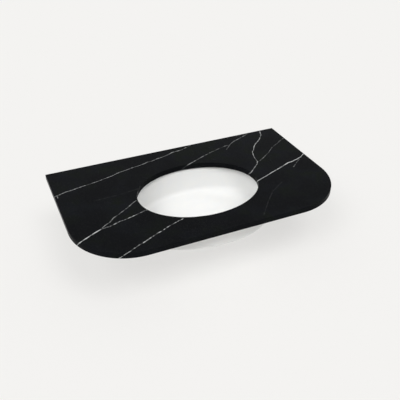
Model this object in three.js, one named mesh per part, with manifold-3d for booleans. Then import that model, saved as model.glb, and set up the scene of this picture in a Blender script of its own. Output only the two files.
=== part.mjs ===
// A vanity sink top: an oval china basin held under a thin stone top by six clips, with a push-plug waste.
// Millimetres. X runs along the wall, -Y points to the user and +Z is up.
// The origin is the middle of the stone's rear bottom edge, where the wall meets the cabinet.
import * as THREE from "three";
import { mergeVertices } from "three/addons/utils/BufferGeometryUtils.js";
import Module from "manifold-3d";

const wasm = await Module();
wasm.setup();

// Stone top
const TOP_WIDTH = 940;
const TOP_DEPTH = 559;
const TOP_THICKNESS = 20;
const TOP_FRONT_RADIUS = 199;
const TOP_ARRIS = 1;

// Oval cut-out in the stone
const CUTOUT_LENGTH = 436;
const CUTOUT_FRONT_LEDGE = 88.5;
const CUTOUT_REAR_LEDGE = 139.5;

// Silicone bead between the stone and the basin's rim
const BEAD_THICKNESS = 2;
const BEAD_SETBACK = 4;

// Bowl: the inside of the basin, a little larger than the cut-out all round
const BOWL_FORWARD = 13;
const REVEAL_REAR = 2.5;
const REVEAL_SIDE = 32;
const RIM_LIP_RADIUS = 3;
const WALL_FOOT_DEPTH = 84;
const WALL_TAPER_LENGTH = 12;
const WALL_TAPER_DEPTH = 24;
const FOOT_FILLET = 14;
const FLOOR_FALL = 30;

// Basin outside
const RIM_WALL_SIDE = 18;
const RIM_WALL_FRONT = 24;
const RIM_FLANGE_WIDTH = 18;
const RIM_FLANGE_THICKNESS = 12;
const RIM_FLANGE_ROUND = 4;
const SKIRT_FILLET = 3;
const SKIRT_CORNER = 31;
const SKIRT_CORNER_RISE = 4;
const FLOOR_THICKNESS = 13;
const OUTLET_BOSS_RADIUS = 38;
const OUTLET_RADIUS = 23;

// Overflow slot in the bowl's front wall and its duct down to the outlet
const OVERFLOW_DROP = 32;
const OVERFLOW_WIDTH = 38;
const OVERFLOW_HEIGHT = 10;
const DUCT_COVER = 15;
const DUCT_DEPTH = 10;
const DUCT_HEADROOM = 4;
const DUCT_WALL = 7;
const DUCT_MOUTH_HEIGHT = 9;

// Waste
const WASTE_FLANGE_RADIUS = 31;
const WASTE_FLANGE_THICKNESS = 2.5;
const WASTE_FLANGE_CLEARANCE = 1.5;
const WASTE_FLANGE_ROUND = 1.2;
const WASTE_MOUTH_RADIUS = 21.2;
const WASTE_SEAT_RADIUS = 18.9;
const WASTE_SEAT_DROP = 2.4;
const WASTE_TUBE_RADIUS = 20.9;
const WASTE_TUBE_WALL = 3.4;
const WASTE_THROAT_DROP = 7;
const WASTE_LENGTH = 90;
const WASTE_SLOT_WIDTH = 14;
const FLANGE_SEAL_THICKNESS = 1;
const FLANGE_SEAL_SETBACK = 1;
const CROSSBAR_DROP = 22;
const CROSSBAR_HEIGHT = 6;
const CROSSBAR_SPOKE = 3;
const CROSSBAR_HUB_WALL = 2.4;

// Gasket, washer and nut under the outlet
const GASKET_THICKNESS = 6;
const GASKET_TOP_RADIUS = 34;
const GASKET_TAPER = 3;
const FRICTION_WASHER_THICKNESS = 2;
const FRICTION_WASHER_RADIUS = 31;
const LOCK_NUT_FLATS = 56;
const LOCK_NUT_HEIGHT = 10;
const THREAD_CLEARANCE = 0.3;

// Plug
const PLUG_CAP_RADIUS = 19.2;
const PLUG_CAP_EDGE = 1.2;
const PLUG_CAP_RECESS = 0.6;
const PLUG_CAP_CROWN = 1.4;
const PLUG_BOSS_RADIUS = 7.5;
const PLUG_BOSS_HEIGHT = 6;
const PLUG_SEAL_RADIUS = 18.3;
const PLUG_SEAL_WIDTH = 5;
const PLUG_SEAL_THICKNESS = 1.5;
const STEM_RADIUS = 4;
const STEM_LENGTH = 34;
const STEM_SOCKET_DEPTH = 4;
const CARTRIDGE_RADIUS = 9;
const CARTRIDGE_LENGTH = 30;
const CARTRIDGE_COLLAR_WIDTH = 2;
const CARTRIDGE_COLLAR_THICKNESS = 1.5;
const CARTRIDGE_FLOOR = 2;
const SLIDING_CLEARANCE = 0.3;

// Clips round the rim
const CLIP_REACH = 10;
const CLIP_STUD_OUT = 12;
const CLIP_HEEL_OUT = 26;
const CLIP_WIDTH = 22;
const CLIP_METAL = 2.5;
const CLIP_BEND = 2;
const ANCHOR_RADIUS = 4.8;
const ANCHOR_LENGTH = 12;
const ANCHOR_RESIN = 0.4;
const STUD_RADIUS = 3;
const STUD_CLEARANCE = 0.4;
const STUD_TIP_GAP = 1;
const STUD_TAIL = 6;
const WASHER_RADIUS = 8;
const WASHER_THICKNESS = 1.6;
const WING_HUB_RADIUS = 6;
const WING_HUB_TAPER = 1;
const WING_HUB_HEIGHT = 8;
const WING_SPAN = 30;
const WING_RISE = 6;
const WING_METAL = 2.2;

// Every cutter runs past the face that it opens by this much
const CUT_OVERRUN = 2;

// Shapes of the ovals, angles and counts
const BOWL_SQUARENESS = 2;
const SKIRT_SQUARENESS = 2.1;
const CLIP_ANGLES = [-30, 20, 65, 115, 160, 210];
const OVAL_SIDES = 64;
const CORNER_SEGMENTS = 20;
const TURNED_SIDES = 28;
const FASTENER_SIDES = 12;
const ROUNDING_STEPS = 3;
const FLOOR_STEPS = 4;
const UNDERSIDE_STEPS = 8;
const SPOKES = 3;
const HEX_SIDES = 6;

// Places of the cut-out and the bowl, front to back
const cutoutDepth = TOP_DEPTH - CUTOUT_FRONT_LEDGE - CUTOUT_REAR_LEDGE;
const cutoutCentreY = -CUTOUT_REAR_LEDGE - cutoutDepth / 2;
const bowlCentreY = cutoutCentreY - BOWL_FORWARD;

// Levels, from the stone's underside down
const rimTop = -BEAD_THICKNESS;
const flangeBottom = rimTop - RIM_FLANGE_THICKNESS;
const footLevel = -WALL_FOOT_DEPTH;
const outletLevel = footLevel - FLOOR_FALL;
const recessLevel = outletLevel - WASTE_FLANGE_THICKNESS - FLANGE_SEAL_THICKNESS;
const ductMouthTop = recessLevel - DUCT_WALL;
const ductMouthBottom = ductMouthTop - DUCT_MOUTH_HEIGHT;
const bossBottom = ductMouthBottom - DUCT_WALL;
const crossbarTop = outletLevel - CROSSBAR_DROP;
const wasteEnd = outletLevel - WASTE_LENGTH;
const capUnderside = outletLevel - PLUG_CAP_RECESS - PLUG_CAP_EDGE;
const clipUnderside = flangeBottom - CLIP_METAL;
const washerUnderside = clipUnderside - WASHER_THICKNESS;
const wingUnderside = washerUnderside - WING_HUB_HEIGHT;

// Rings of the basin, each a half length, a half depth and a height
const ring = (length, depth, height) => new THREE.Vector3(length, depth, height);
const circle = (radius, height) => ring(radius, radius, height);
const grown = (base, by, height) => ring(base.x + by, base.y + by, height);

const bowlRim = ring(
  CUTOUT_LENGTH / 2 + REVEAL_SIDE,
  cutoutDepth / 2 + BOWL_FORWARD + REVEAL_REAR,
  rimTop - RIM_LIP_RADIUS,
);
const bowlFoot = ring(bowlRim.x - WALL_TAPER_LENGTH, bowlRim.y - WALL_TAPER_DEPTH, footLevel);
const outletEdge = circle(WASTE_FLANGE_RADIUS + WASTE_FLANGE_CLEARANCE, outletLevel);
const skirt = ring(bowlRim.x + RIM_WALL_SIDE, bowlRim.y + RIM_WALL_FRONT, rimTop);
const flangeEdge = grown(skirt, RIM_FLANGE_WIDTH, rimTop);

const materials = {
  stone: finish(0x1b1c1f, 0.3, 0),
  china: finish(0xf2f2f0, 0.12, 0),
  silicone: finish(0xd9dad8, 0.6, 0),
  brass: finish(0xb08d4f, 0.35, 1),
  steel: finish(0xb9bcc0, 0.35, 1),
  chrome: finish(0xdadde0, 0.08, 1),
  rubber: finish(0x1d1e1f, 0.8, 0),
  nylon: finish(0xe6e4dd, 0.5, 0),
};

function finish(color, roughness, metalness) {
  return { color, roughness, metalness };
}

function piece(name, geometry, surface) {
  const mesh = new THREE.Mesh(geometry, new THREE.MeshStandardMaterial(surface));
  mesh.name = name;
  return mesh;
}

// A closed three.js geometry as a solid that can be cut and joined.
function solid(geometry) {
  const bare = geometry.clone();
  bare.deleteAttribute("normal");
  bare.deleteAttribute("uv");
  const merged = mergeVertices(bare);
  return new wasm.Manifold(
    new wasm.Mesh({
      numProp: 3,
      vertProperties: merged.attributes.position.array,
      triVerts: new Uint32Array(merged.index.array),
    }),
  );
}

// The solid back as a three.js geometry.
function geometryOf(made) {
  const mesh = made.getMesh();
  const geometry = new THREE.BufferGeometry();
  geometry.setAttribute("position", new THREE.BufferAttribute(mesh.vertProperties, mesh.numProp));
  geometry.setIndex(new THREE.BufferAttribute(mesh.triVerts, 1));
  geometry.computeVertexNormals();
  return geometry;
}

// One point of an oval at an angle: 2 is an ellipse, and a larger squareness has fuller corners.
function ovalPoint(size, angle, squareness) {
  const bulge = (value) => Math.sign(value) * Math.abs(value) ** (2 / squareness);
  return [size.x * bulge(Math.cos(angle)), size.y * bulge(Math.sin(angle)), size.z];
}

// A solid through rings listed from the top down its outside; a loop closes on its first ring.
function ovalSolid(rings, squareness, isLoop) {
  const position = rings.flatMap((size) =>
    Array.from({ length: OVAL_SIDES }, (_, i) =>
      ovalPoint(size, (2 * Math.PI * i) / OVAL_SIDES, squareness),
    ).flat(),
  );
  const index = [];
  const bands = isLoop ? rings.length : rings.length - 1;
  for (let band = 0; band < bands; band++) {
    const upper = band * OVAL_SIDES;
    const lower = ((band + 1) % rings.length) * OVAL_SIDES;
    for (let i = 0; i < OVAL_SIDES; i++) {
      const next = (i + 1) % OVAL_SIDES;
      index.push(upper + i, lower + i, lower + next);
      index.push(upper + i, lower + next, upper + next);
    }
  }
  if (!isLoop) closeEnds(rings, position, index);
  const geometry = new THREE.BufferGeometry();
  geometry.setAttribute("position", new THREE.Float32BufferAttribute(position, 3));
  geometry.setIndex(index);
  geometry.computeVertexNormals();
  return geometry;
}

// Flat ends on the first and last rings, each a fan round a point on the axis.
function closeEnds(rings, position, index) {
  const last = rings.length - 1;
  const topCentre = position.length / 3;
  const bottomCentre = topCentre + 1;
  position.push(0, 0, rings[0].z, 0, 0, rings[last].z);
  for (let i = 0; i < OVAL_SIDES; i++) {
    const next = (i + 1) % OVAL_SIDES;
    index.push(topCentre, i, next);
    index.push(bottomCentre, last * OVAL_SIDES + next, last * OVAL_SIDES + i);
  }
}

// Rings that round the corner between two others.
function rounded(from, corner, to) {
  return new THREE.QuadraticBezierCurve3(from, corner, to).getPoints(ROUNDING_STEPS);
}

// A turned piece: [radius, height] pairs up its outside and down its inside, about the Z axis.
function turned(profile, sides) {
  const points = profile.map(([radius, height]) => new THREE.Vector2(radius, height));
  return new THREE.LatheGeometry([...points, points[0]], sides).rotateX(Math.PI / 2);
}

// A plain turned ring or, with no bore, a disc or rod.
function turnedRing(bore, radius, bottom, top, sides) {
  return turned([[bore, bottom], [radius, bottom], [radius, top], [bore, top]], sides);
}

// A shape drawn in X and Z, as deep along Y as told and centred on Y = 0.
function upright(shape, width) {
  const options = { depth: width, bevelEnabled: false, curveSegments: ROUNDING_STEPS };
  return new THREE.ExtrudeGeometry(shape, options).rotateX(Math.PI / 2).translate(0, width / 2, 0);
}

// Stone top

function topOutline() {
  const half = TOP_WIDTH / 2;
  const arcX = half - TOP_FRONT_RADIUS;
  const arcY = TOP_FRONT_RADIUS - TOP_DEPTH;
  const outline = new THREE.Shape();
  outline.moveTo(half, 0);
  outline.lineTo(-half, 0);
  outline.lineTo(-half, arcY);
  outline.absarc(-arcX, arcY, TOP_FRONT_RADIUS, Math.PI, 1.5 * Math.PI, false);
  outline.lineTo(arcX, -TOP_DEPTH);
  outline.absarc(arcX, arcY, TOP_FRONT_RADIUS, 1.5 * Math.PI, 2 * Math.PI, false);
  return outline;
}

function stoneTop(stations) {
  const outline = topOutline();
  const options = {
    depth: TOP_THICKNESS - 2 * TOP_ARRIS,
    bevelThickness: TOP_ARRIS,
    bevelSize: TOP_ARRIS,
    bevelOffset: -TOP_ARRIS,
    bevelSegments: 1,
    curveSegments: CORNER_SEGMENTS,
  };
  const slab = new THREE.ExtrudeGeometry(outline, options).translate(0, 0, TOP_ARRIS);
  const upperEdge = TOP_THICKNESS - TOP_ARRIS;
  const opening = ring(CUTOUT_LENGTH / 2, cutoutDepth / 2, upperEdge);
  const cutter = ovalSolid(
    [
      grown(opening, TOP_ARRIS + CUT_OVERRUN, TOP_THICKNESS + CUT_OVERRUN),
      opening,
      ring(opening.x, opening.y, -CUT_OVERRUN),
    ],
    BOWL_SQUARENESS,
    false,
  ).translate(0, cutoutCentreY, 0);
  let stone = solid(slab).subtract(solid(cutter));
  for (const station of stations) {
    const hole = turnedRing(
      0,
      ANCHOR_RADIUS + ANCHOR_RESIN,
      -CUT_OVERRUN,
      ANCHOR_LENGTH + ANCHOR_RESIN,
      FASTENER_SIDES,
    ).translate(CLIP_STUD_OUT, 0, 0);
    hole.rotateZ(station.angle).translate(station.x, station.y, 0);
    stone = stone.subtract(solid(hole));
  }
  return piece("stone_top", geometryOf(stone), materials.stone);
}

// Basin, about its own outlet axis

function floorRing(share, drop) {
  const at = bowlFoot.clone().lerp(outletEdge, share);
  return ring(at.x, at.y, at.z - drop);
}

function wallRing(height) {
  return bowlRim.clone().lerp(bowlFoot, (bowlRim.z - height) / (bowlRim.z - bowlFoot.z));
}

// The hollow of the bowl, the recess for the waste's flange and the outlet hole, as one solid.
function bowlHollow() {
  const filletShare = FOOT_FILLET / (bowlFoot.y - outletEdge.y);
  const rings = [
    grown(bowlRim, RIM_LIP_RADIUS, rimTop + CUT_OVERRUN),
    ...rounded(
      grown(bowlRim, RIM_LIP_RADIUS, rimTop),
      ring(bowlRim.x, bowlRim.y, rimTop),
      bowlRim,
    ),
    ...rounded(wallRing(footLevel + FOOT_FILLET), bowlFoot, floorRing(filletShare, 0)),
  ];
  for (let step = 1; step <= FLOOR_STEPS; step++) {
    rings.push(floorRing(filletShare + ((1 - filletShare) * step) / FLOOR_STEPS, 0));
  }
  rings.push(circle(outletEdge.x, recessLevel));
  rings.push(circle(OUTLET_RADIUS, recessLevel));
  rings.push(circle(OUTLET_RADIUS, bossBottom - CUT_OVERRUN));
  return ovalSolid(rings, BOWL_SQUARENESS, false);
}

// The basin's outer form with nothing cut out of it.
function basinBody() {
  const cornerTop = footLevel - FLOOR_THICKNESS + SKIRT_CORNER;
  const cornerEnd = floorRing(1 / UNDERSIDE_STEPS, FLOOR_THICKNESS);
  const rings = [
    flangeEdge,
    ...rounded(
      grown(flangeEdge, 0, flangeBottom + RIM_FLANGE_ROUND),
      grown(flangeEdge, 0, flangeBottom),
      grown(flangeEdge, -RIM_FLANGE_ROUND, flangeBottom),
    ),
    ...rounded(
      grown(skirt, SKIRT_FILLET, flangeBottom),
      grown(skirt, 0, flangeBottom),
      grown(skirt, 0, flangeBottom - SKIRT_FILLET),
    ),
    ...rounded(grown(skirt, 0, cornerTop), grown(skirt, 0, footLevel + SKIRT_CORNER_RISE), cornerEnd),
  ];
  for (let step = 2; step < UNDERSIDE_STEPS; step++) {
    rings.push(floorRing(step / UNDERSIDE_STEPS, FLOOR_THICKNESS));
  }
  rings.push(circle(OUTLET_BOSS_RADIUS, outletLevel - FLOOR_THICKNESS));
  rings.push(circle(OUTLET_BOSS_RADIUS, bossBottom));
  return ovalSolid(rings, SKIRT_SQUARENESS, false);
}

// Outlines of the overflow duct and of the ridge that covers it, in forward distance and height.
function ductOutline() {
  const front = skirt.y - DUCT_COVER;
  const back = front - DUCT_DEPTH;
  const top = rimTop - OVERFLOW_DROP + OVERFLOW_HEIGHT / 2 + DUCT_HEADROOM;
  const underFoot = footLevel - DUCT_WALL;
  return new THREE.Shape([
    new THREE.Vector2(front, top),
    new THREE.Vector2(front, footLevel + DUCT_WALL),
    new THREE.Vector2(bowlFoot.y, underFoot - DUCT_DEPTH),
    new THREE.Vector2(OUTLET_BOSS_RADIUS, ductMouthBottom),
    new THREE.Vector2(0, ductMouthBottom),
    new THREE.Vector2(0, ductMouthTop),
    new THREE.Vector2(OUTLET_BOSS_RADIUS, ductMouthTop),
    new THREE.Vector2(bowlFoot.y, underFoot),
    new THREE.Vector2(back, footLevel + DUCT_WALL + DUCT_DEPTH),
    new THREE.Vector2(back, top),
  ]);
}

function ridgeOutline() {
  const front = skirt.y - DUCT_COVER;
  const underFoot = footLevel - DUCT_WALL - DUCT_DEPTH - DUCT_WALL;
  return new THREE.Shape([
    new THREE.Vector2(0, footLevel),
    new THREE.Vector2(front, footLevel + SKIRT_CORNER),
    new THREE.Vector2(front + DUCT_WALL, footLevel + DUCT_WALL),
    new THREE.Vector2(bowlFoot.y, underFoot),
    new THREE.Vector2(OUTLET_BOSS_RADIUS, bossBottom),
    new THREE.Vector2(0, bossBottom),
  ]);
}

// An outline in forward distance and height, as a solid centred on X = 0.
function frontal(outline, width) {
  return upright(outline, width).rotateZ(-Math.PI / 2);
}

function overflowSlot() {
  const reach = skirt.y - DUCT_COVER - DUCT_DEPTH / 2;
  const half = (OVERFLOW_WIDTH - OVERFLOW_HEIGHT) / 2;
  const shape = new THREE.Shape();
  shape.absarc(half, 0, OVERFLOW_HEIGHT / 2, -Math.PI / 2, Math.PI / 2, false);
  shape.absarc(-half, 0, OVERFLOW_HEIGHT / 2, Math.PI / 2, 1.5 * Math.PI, false);
  const depth = reach - bowlFoot.y;
  return upright(shape, depth).translate(0, depth / 2 - reach, rimTop - OVERFLOW_DROP);
}

function basin() {
  const made = solid(basinBody())
    .add(solid(frontal(ridgeOutline(), OVERFLOW_WIDTH + 2 * DUCT_WALL)))
    .subtract(solid(bowlHollow()))
    .subtract(solid(frontal(ductOutline(), OVERFLOW_WIDTH)))
    .subtract(solid(overflowSlot()));
  return piece("basin", geometryOf(made), materials.china);
}

function rimSealant() {
  const inner = BEAD_SETBACK + RIM_LIP_RADIUS;
  const rings = [
    grown(bowlRim, inner, 0),
    grown(flangeEdge, -BEAD_SETBACK, 0),
    grown(flangeEdge, -BEAD_SETBACK, rimTop),
    grown(bowlRim, inner, rimTop),
  ];
  return piece("rim_sealant", ovalSolid(rings, SKIRT_SQUARENESS, true), materials.silicone);
}

// Waste, about the outlet axis

function wasteSlots() {
  const reach = 2 * (WASTE_TUBE_RADIUS + CUT_OVERRUN);
  const slot = new THREE.BoxGeometry(WASTE_SLOT_WIDTH, reach, DUCT_MOUTH_HEIGHT);
  return slot.translate(0, 0, (ductMouthTop + ductMouthBottom) / 2);
}

function crossbar() {
  const bore = CARTRIDGE_RADIUS + SLIDING_CLEARANCE;
  const hub = bore + CROSSBAR_HUB_WALL;
  const bottom = crossbarTop - CROSSBAR_HEIGHT;
  let made = solid(turnedRing(bore, hub, bottom, crossbarTop, TURNED_SIDES));
  const reach = WASTE_TUBE_RADIUS - WASTE_TUBE_WALL / 2;
  const start = bore + CROSSBAR_HUB_WALL / 2;
  for (let i = 0; i < SPOKES; i++) {
    const spoke = new THREE.BoxGeometry(reach - start, CROSSBAR_SPOKE, CROSSBAR_HEIGHT);
    spoke.translate((reach + start) / 2, 0, (crossbarTop + bottom) / 2);
    made = made.add(solid(spoke.rotateZ((2 * Math.PI * i) / SPOKES)));
  }
  return made;
}

function wasteBody() {
  const bore = WASTE_TUBE_RADIUS - WASTE_TUBE_WALL;
  const underFlange = outletLevel - WASTE_FLANGE_THICKNESS;
  const shell = turned(
    [
      [bore, wasteEnd],
      [WASTE_TUBE_RADIUS, wasteEnd],
      [WASTE_TUBE_RADIUS, underFlange],
      [WASTE_FLANGE_RADIUS, underFlange],
      [WASTE_FLANGE_RADIUS, outletLevel - WASTE_FLANGE_ROUND],
      [WASTE_FLANGE_RADIUS - WASTE_FLANGE_ROUND, outletLevel],
      [WASTE_MOUTH_RADIUS, outletLevel],
      [WASTE_SEAT_RADIUS, outletLevel - WASTE_SEAT_DROP],
      [bore, outletLevel - WASTE_THROAT_DROP],
    ],
    TURNED_SIDES,
  );
  const made = solid(shell).subtract(solid(wasteSlots())).add(crossbar());
  return piece("waste_body", geometryOf(made), materials.chrome);
}

function flangeSeal() {
  const top = outletLevel - WASTE_FLANGE_THICKNESS;
  const geometry = turnedRing(
    OUTLET_RADIUS + FLANGE_SEAL_SETBACK,
    WASTE_FLANGE_RADIUS - FLANGE_SEAL_SETBACK,
    top - FLANGE_SEAL_THICKNESS,
    top,
    TURNED_SIDES,
  );
  return piece("flange_seal", geometry, materials.rubber);
}

function outletGasket() {
  const bore = WASTE_TUBE_RADIUS + THREAD_CLEARANCE;
  const bottom = bossBottom - GASKET_THICKNESS;
  const geometry = turned(
    [
      [bore, bottom],
      [GASKET_TOP_RADIUS - GASKET_TAPER, bottom],
      [GASKET_TOP_RADIUS, bossBottom],
      [bore, bossBottom],
    ],
    TURNED_SIDES,
  );
  return piece("outlet_gasket", geometry, materials.rubber);
}

function frictionWasher() {
  const top = bossBottom - GASKET_THICKNESS;
  const geometry = turnedRing(
    WASTE_TUBE_RADIUS + THREAD_CLEARANCE,
    FRICTION_WASHER_RADIUS,
    top - FRICTION_WASHER_THICKNESS,
    top,
    TURNED_SIDES,
  );
  return piece("friction_washer", geometry, materials.nylon);
}

function lockNut() {
  const corner = LOCK_NUT_FLATS / 2 / Math.cos(Math.PI / HEX_SIDES);
  const hexagon = new THREE.Shape(
    Array.from({ length: HEX_SIDES }, (_, i) => {
      const angle = (2 * Math.PI * i) / HEX_SIDES;
      return new THREE.Vector2(corner * Math.cos(angle), corner * Math.sin(angle));
    }),
  );
  const bore = new THREE.Path();
  bore.absarc(0, 0, WASTE_TUBE_RADIUS + THREAD_CLEARANCE, 0, 2 * Math.PI, true);
  hexagon.holes.push(bore);
  const options = { depth: LOCK_NUT_HEIGHT, bevelEnabled: false, curveSegments: TURNED_SIDES / 2 };
  const top = bossBottom - GASKET_THICKNESS - FRICTION_WASHER_THICKNESS;
  const geometry = new THREE.ExtrudeGeometry(hexagon, options).translate(0, 0, top - LOCK_NUT_HEIGHT);
  return piece("waste_lock_nut", geometry, materials.brass);
}

// Plug

function plugCap() {
  const edgeTop = outletLevel - PLUG_CAP_RECESS;
  const socket = STEM_RADIUS + SLIDING_CLEARANCE;
  const bossEnd = capUnderside - PLUG_BOSS_HEIGHT;
  const crown = edgeTop + PLUG_CAP_CROWN;
  const dome = new THREE.QuadraticBezierCurve(
    new THREE.Vector2(PLUG_CAP_RADIUS, edgeTop),
    new THREE.Vector2(PLUG_CAP_RADIUS / 2, crown),
    new THREE.Vector2(0, crown),
  ).getPoints(ROUNDING_STEPS);
  const geometry = turned(
    [
      [0, bossEnd + STEM_SOCKET_DEPTH],
      [socket, bossEnd + STEM_SOCKET_DEPTH],
      [socket, bossEnd],
      [PLUG_BOSS_RADIUS, bossEnd],
      [PLUG_BOSS_RADIUS, capUnderside],
      [PLUG_CAP_RADIUS, capUnderside],
      ...dome.map((point) => [point.x, point.y]),
    ],
    TURNED_SIDES,
  );
  return piece("plug_cap", geometry, materials.chrome);
}

function plugSeal() {
  const geometry = turnedRing(
    PLUG_SEAL_RADIUS - PLUG_SEAL_WIDTH,
    PLUG_SEAL_RADIUS,
    capUnderside - PLUG_SEAL_THICKNESS,
    capUnderside,
    TURNED_SIDES,
  );
  return piece("plug_seal", geometry, materials.rubber);
}

function plugStem() {
  const top = capUnderside - PLUG_BOSS_HEIGHT + STEM_SOCKET_DEPTH;
  const geometry = turnedRing(0, STEM_RADIUS, top - STEM_LENGTH, top, FASTENER_SIDES);
  return piece("plug_stem", geometry, materials.brass);
}

function plugCartridge() {
  const bore = STEM_RADIUS + SLIDING_CLEARANCE;
  const collarTop = crossbarTop + CARTRIDGE_COLLAR_THICKNESS;
  const bottom = crossbarTop - CARTRIDGE_LENGTH;
  const geometry = turned(
    [
      [0, bottom],
      [CARTRIDGE_RADIUS, bottom],
      [CARTRIDGE_RADIUS, crossbarTop],
      [CARTRIDGE_RADIUS + CARTRIDGE_COLLAR_WIDTH, crossbarTop],
      [CARTRIDGE_RADIUS + CARTRIDGE_COLLAR_WIDTH, collarTop],
      [bore, collarTop],
      [bore, bottom + CARTRIDGE_FLOOR],
      [0, bottom + CARTRIDGE_FLOOR],
    ],
    TURNED_SIDES,
  );
  return piece("plug_cartridge", geometry, materials.nylon);
}

// Clips: X is outwards from the rim's edge, and the stud stands at CLIP_STUD_OUT

function clipStations() {
  return CLIP_ANGLES.map((degrees) => {
    const angle = THREE.MathUtils.degToRad(degrees);
    const [x, y] = ovalPoint(flangeEdge, angle, SKIRT_SQUARENESS);
    const outwards = Math.atan2(
      y / flangeEdge.y / flangeEdge.y,
      x / flangeEdge.x / flangeEdge.x,
    );
    return { x, y: y + bowlCentreY, angle: outwards };
  });
}

function clipBracket(name) {
  const heelIn = CLIP_HEEL_OUT - CLIP_METAL;
  const outerBend = CLIP_BEND + CLIP_METAL;
  const profile = new THREE.Shape();
  profile.moveTo(-CLIP_REACH, flangeBottom);
  profile.lineTo(-CLIP_REACH, clipUnderside);
  profile.lineTo(CLIP_HEEL_OUT - outerBend, clipUnderside);
  profile.absarc(
    CLIP_HEEL_OUT - outerBend,
    clipUnderside + outerBend,
    outerBend,
    -Math.PI / 2,
    0,
    false,
  );
  profile.lineTo(CLIP_HEEL_OUT, 0);
  profile.lineTo(heelIn, 0);
  profile.absarc(heelIn - CLIP_BEND, flangeBottom + CLIP_BEND, CLIP_BEND, 0, -Math.PI / 2, true);
  const hole = turnedRing(
    0,
    STUD_RADIUS + STUD_CLEARANCE,
    clipUnderside - CUT_OVERRUN,
    flangeBottom + CUT_OVERRUN,
    FASTENER_SIDES,
  ).translate(CLIP_STUD_OUT, 0, 0);
  const made = solid(upright(profile, CLIP_WIDTH)).subtract(solid(hole));
  return piece(name, geometryOf(made), materials.steel);
}

function wingOutline() {
  const half = WING_SPAN / 2;
  const hub = WING_HUB_RADIUS - WING_HUB_TAPER;
  const tip = wingUnderside - WING_RISE;
  const shape = new THREE.Shape();
  shape.moveTo(-hub, washerUnderside - WING_HUB_TAPER);
  shape.lineTo(-hub, wingUnderside + WING_HUB_TAPER);
  shape.quadraticCurveTo(-hub, tip, -half, tip);
  shape.quadraticCurveTo(-half - WING_HUB_TAPER, wingUnderside, -hub, washerUnderside - WING_HUB_TAPER);
  return shape;
}

function wingNut(name) {
  const bore = STUD_RADIUS + STUD_CLEARANCE;
  const hub = turned(
    [
      [0, wingUnderside],
      [WING_HUB_RADIUS - WING_HUB_TAPER, wingUnderside],
      [WING_HUB_RADIUS, washerUnderside],
      [0, washerUnderside],
    ],
    FASTENER_SIDES,
  );
  const hole = turnedRing(
    0,
    bore,
    wingUnderside - CUT_OVERRUN,
    washerUnderside + CUT_OVERRUN,
    FASTENER_SIDES,
  );
  const wing = upright(wingOutline(), WING_METAL);
  const opposite = wing.clone().rotateZ(Math.PI);
  const made = solid(hub).add(solid(wing)).add(solid(opposite)).subtract(solid(hole));
  return piece(name, geometryOf(made), materials.steel);
}

function clip(station, number) {
  const anchorBore = STUD_RADIUS + STUD_CLEARANCE;
  const studEnd = wingUnderside - STUD_TAIL;
  const stud = turnedRing(0, STUD_RADIUS, studEnd, ANCHOR_LENGTH - STUD_TIP_GAP, FASTENER_SIDES);
  const anchor = turnedRing(anchorBore, ANCHOR_RADIUS, 0, ANCHOR_LENGTH, FASTENER_SIDES);
  const washer = turnedRing(
    anchorBore,
    WASHER_RADIUS,
    washerUnderside,
    clipUnderside,
    FASTENER_SIDES,
  );
  const fasteners = new THREE.Group();
  fasteners.add(
    piece(`clip_anchor_${number}`, anchor, materials.brass),
    piece(`clip_stud_${number}`, stud, materials.steel),
    piece(`clip_washer_${number}`, washer, materials.steel),
    wingNut(`clip_wing_nut_${number}`),
  );
  fasteners.position.x = CLIP_STUD_OUT;
  const group = new THREE.Group();
  group.add(clipBracket(`clip_bracket_${number}`), fasteners);
  group.position.set(station.x, station.y, 0);
  group.rotation.z = station.angle;
  return group;
}

// Assembly

const stations = clipStations();
const wasteSet = new THREE.Group();
wasteSet.add(wasteBody(), flangeSeal(), outletGasket(), frictionWasher(), lockNut(), plugCartridge());

const plug = new THREE.Group();
plug.add(plugCap(), plugSeal(), plugStem());

const basinSet = new THREE.Group();
basinSet.position.y = bowlCentreY;
basinSet.add(basin(), rimSealant(), wasteSet, plug);

const sinkTop = new THREE.Group();
sinkTop.add(stoneTop(stations), basinSet, ...stations.map((station, i) => clip(station, i + 1)));

export default sinkTop;
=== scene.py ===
"""A vanity sink top: thin black veined stone, an oval china basin clipped under it, and a push-plug waste."""

import logging
import math
from collections.abc import Iterable, Sequence
from dataclasses import astuple, dataclass, field
from enum import Enum
from itertools import pairwise
from typing import Any

import bmesh
import bpy
from mathutils import Matrix, Vector


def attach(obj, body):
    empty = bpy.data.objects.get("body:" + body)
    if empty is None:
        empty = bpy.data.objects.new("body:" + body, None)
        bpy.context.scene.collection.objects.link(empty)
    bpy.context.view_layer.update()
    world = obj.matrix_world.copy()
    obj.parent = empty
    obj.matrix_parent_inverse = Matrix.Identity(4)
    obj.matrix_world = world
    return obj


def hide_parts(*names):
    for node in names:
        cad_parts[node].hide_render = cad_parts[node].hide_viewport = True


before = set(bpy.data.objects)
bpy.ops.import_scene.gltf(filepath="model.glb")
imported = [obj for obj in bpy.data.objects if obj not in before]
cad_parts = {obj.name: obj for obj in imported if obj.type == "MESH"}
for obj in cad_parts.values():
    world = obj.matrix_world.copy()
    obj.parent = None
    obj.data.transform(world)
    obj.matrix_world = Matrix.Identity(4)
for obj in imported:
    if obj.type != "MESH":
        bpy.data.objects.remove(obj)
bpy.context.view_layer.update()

LOG = logging.getLogger("vanity_sink_top")
MM = 0.001
FULL_TURN = 2 * math.pi
SHARP_ANGLE = math.radians(32)
# Slack in millimetres: what counts as touching, as on a plane, and as one point in a turned form and a thread
NEAR = 0.001
ON_PLANE = 0.0001
TURNED_WELD = 0.002
THREAD_WELD = 0.01
# The angle, in radians, up to which faces count as one
FLAT_ANGLE = 0.01

Point = tuple[float, float]
Spot = tuple[float, float, float]
Form = bmesh.types.BMesh
Node = bpy.types.Node
Socket = bpy.types.NodeSocket
Tree = bpy.types.NodeTree


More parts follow.
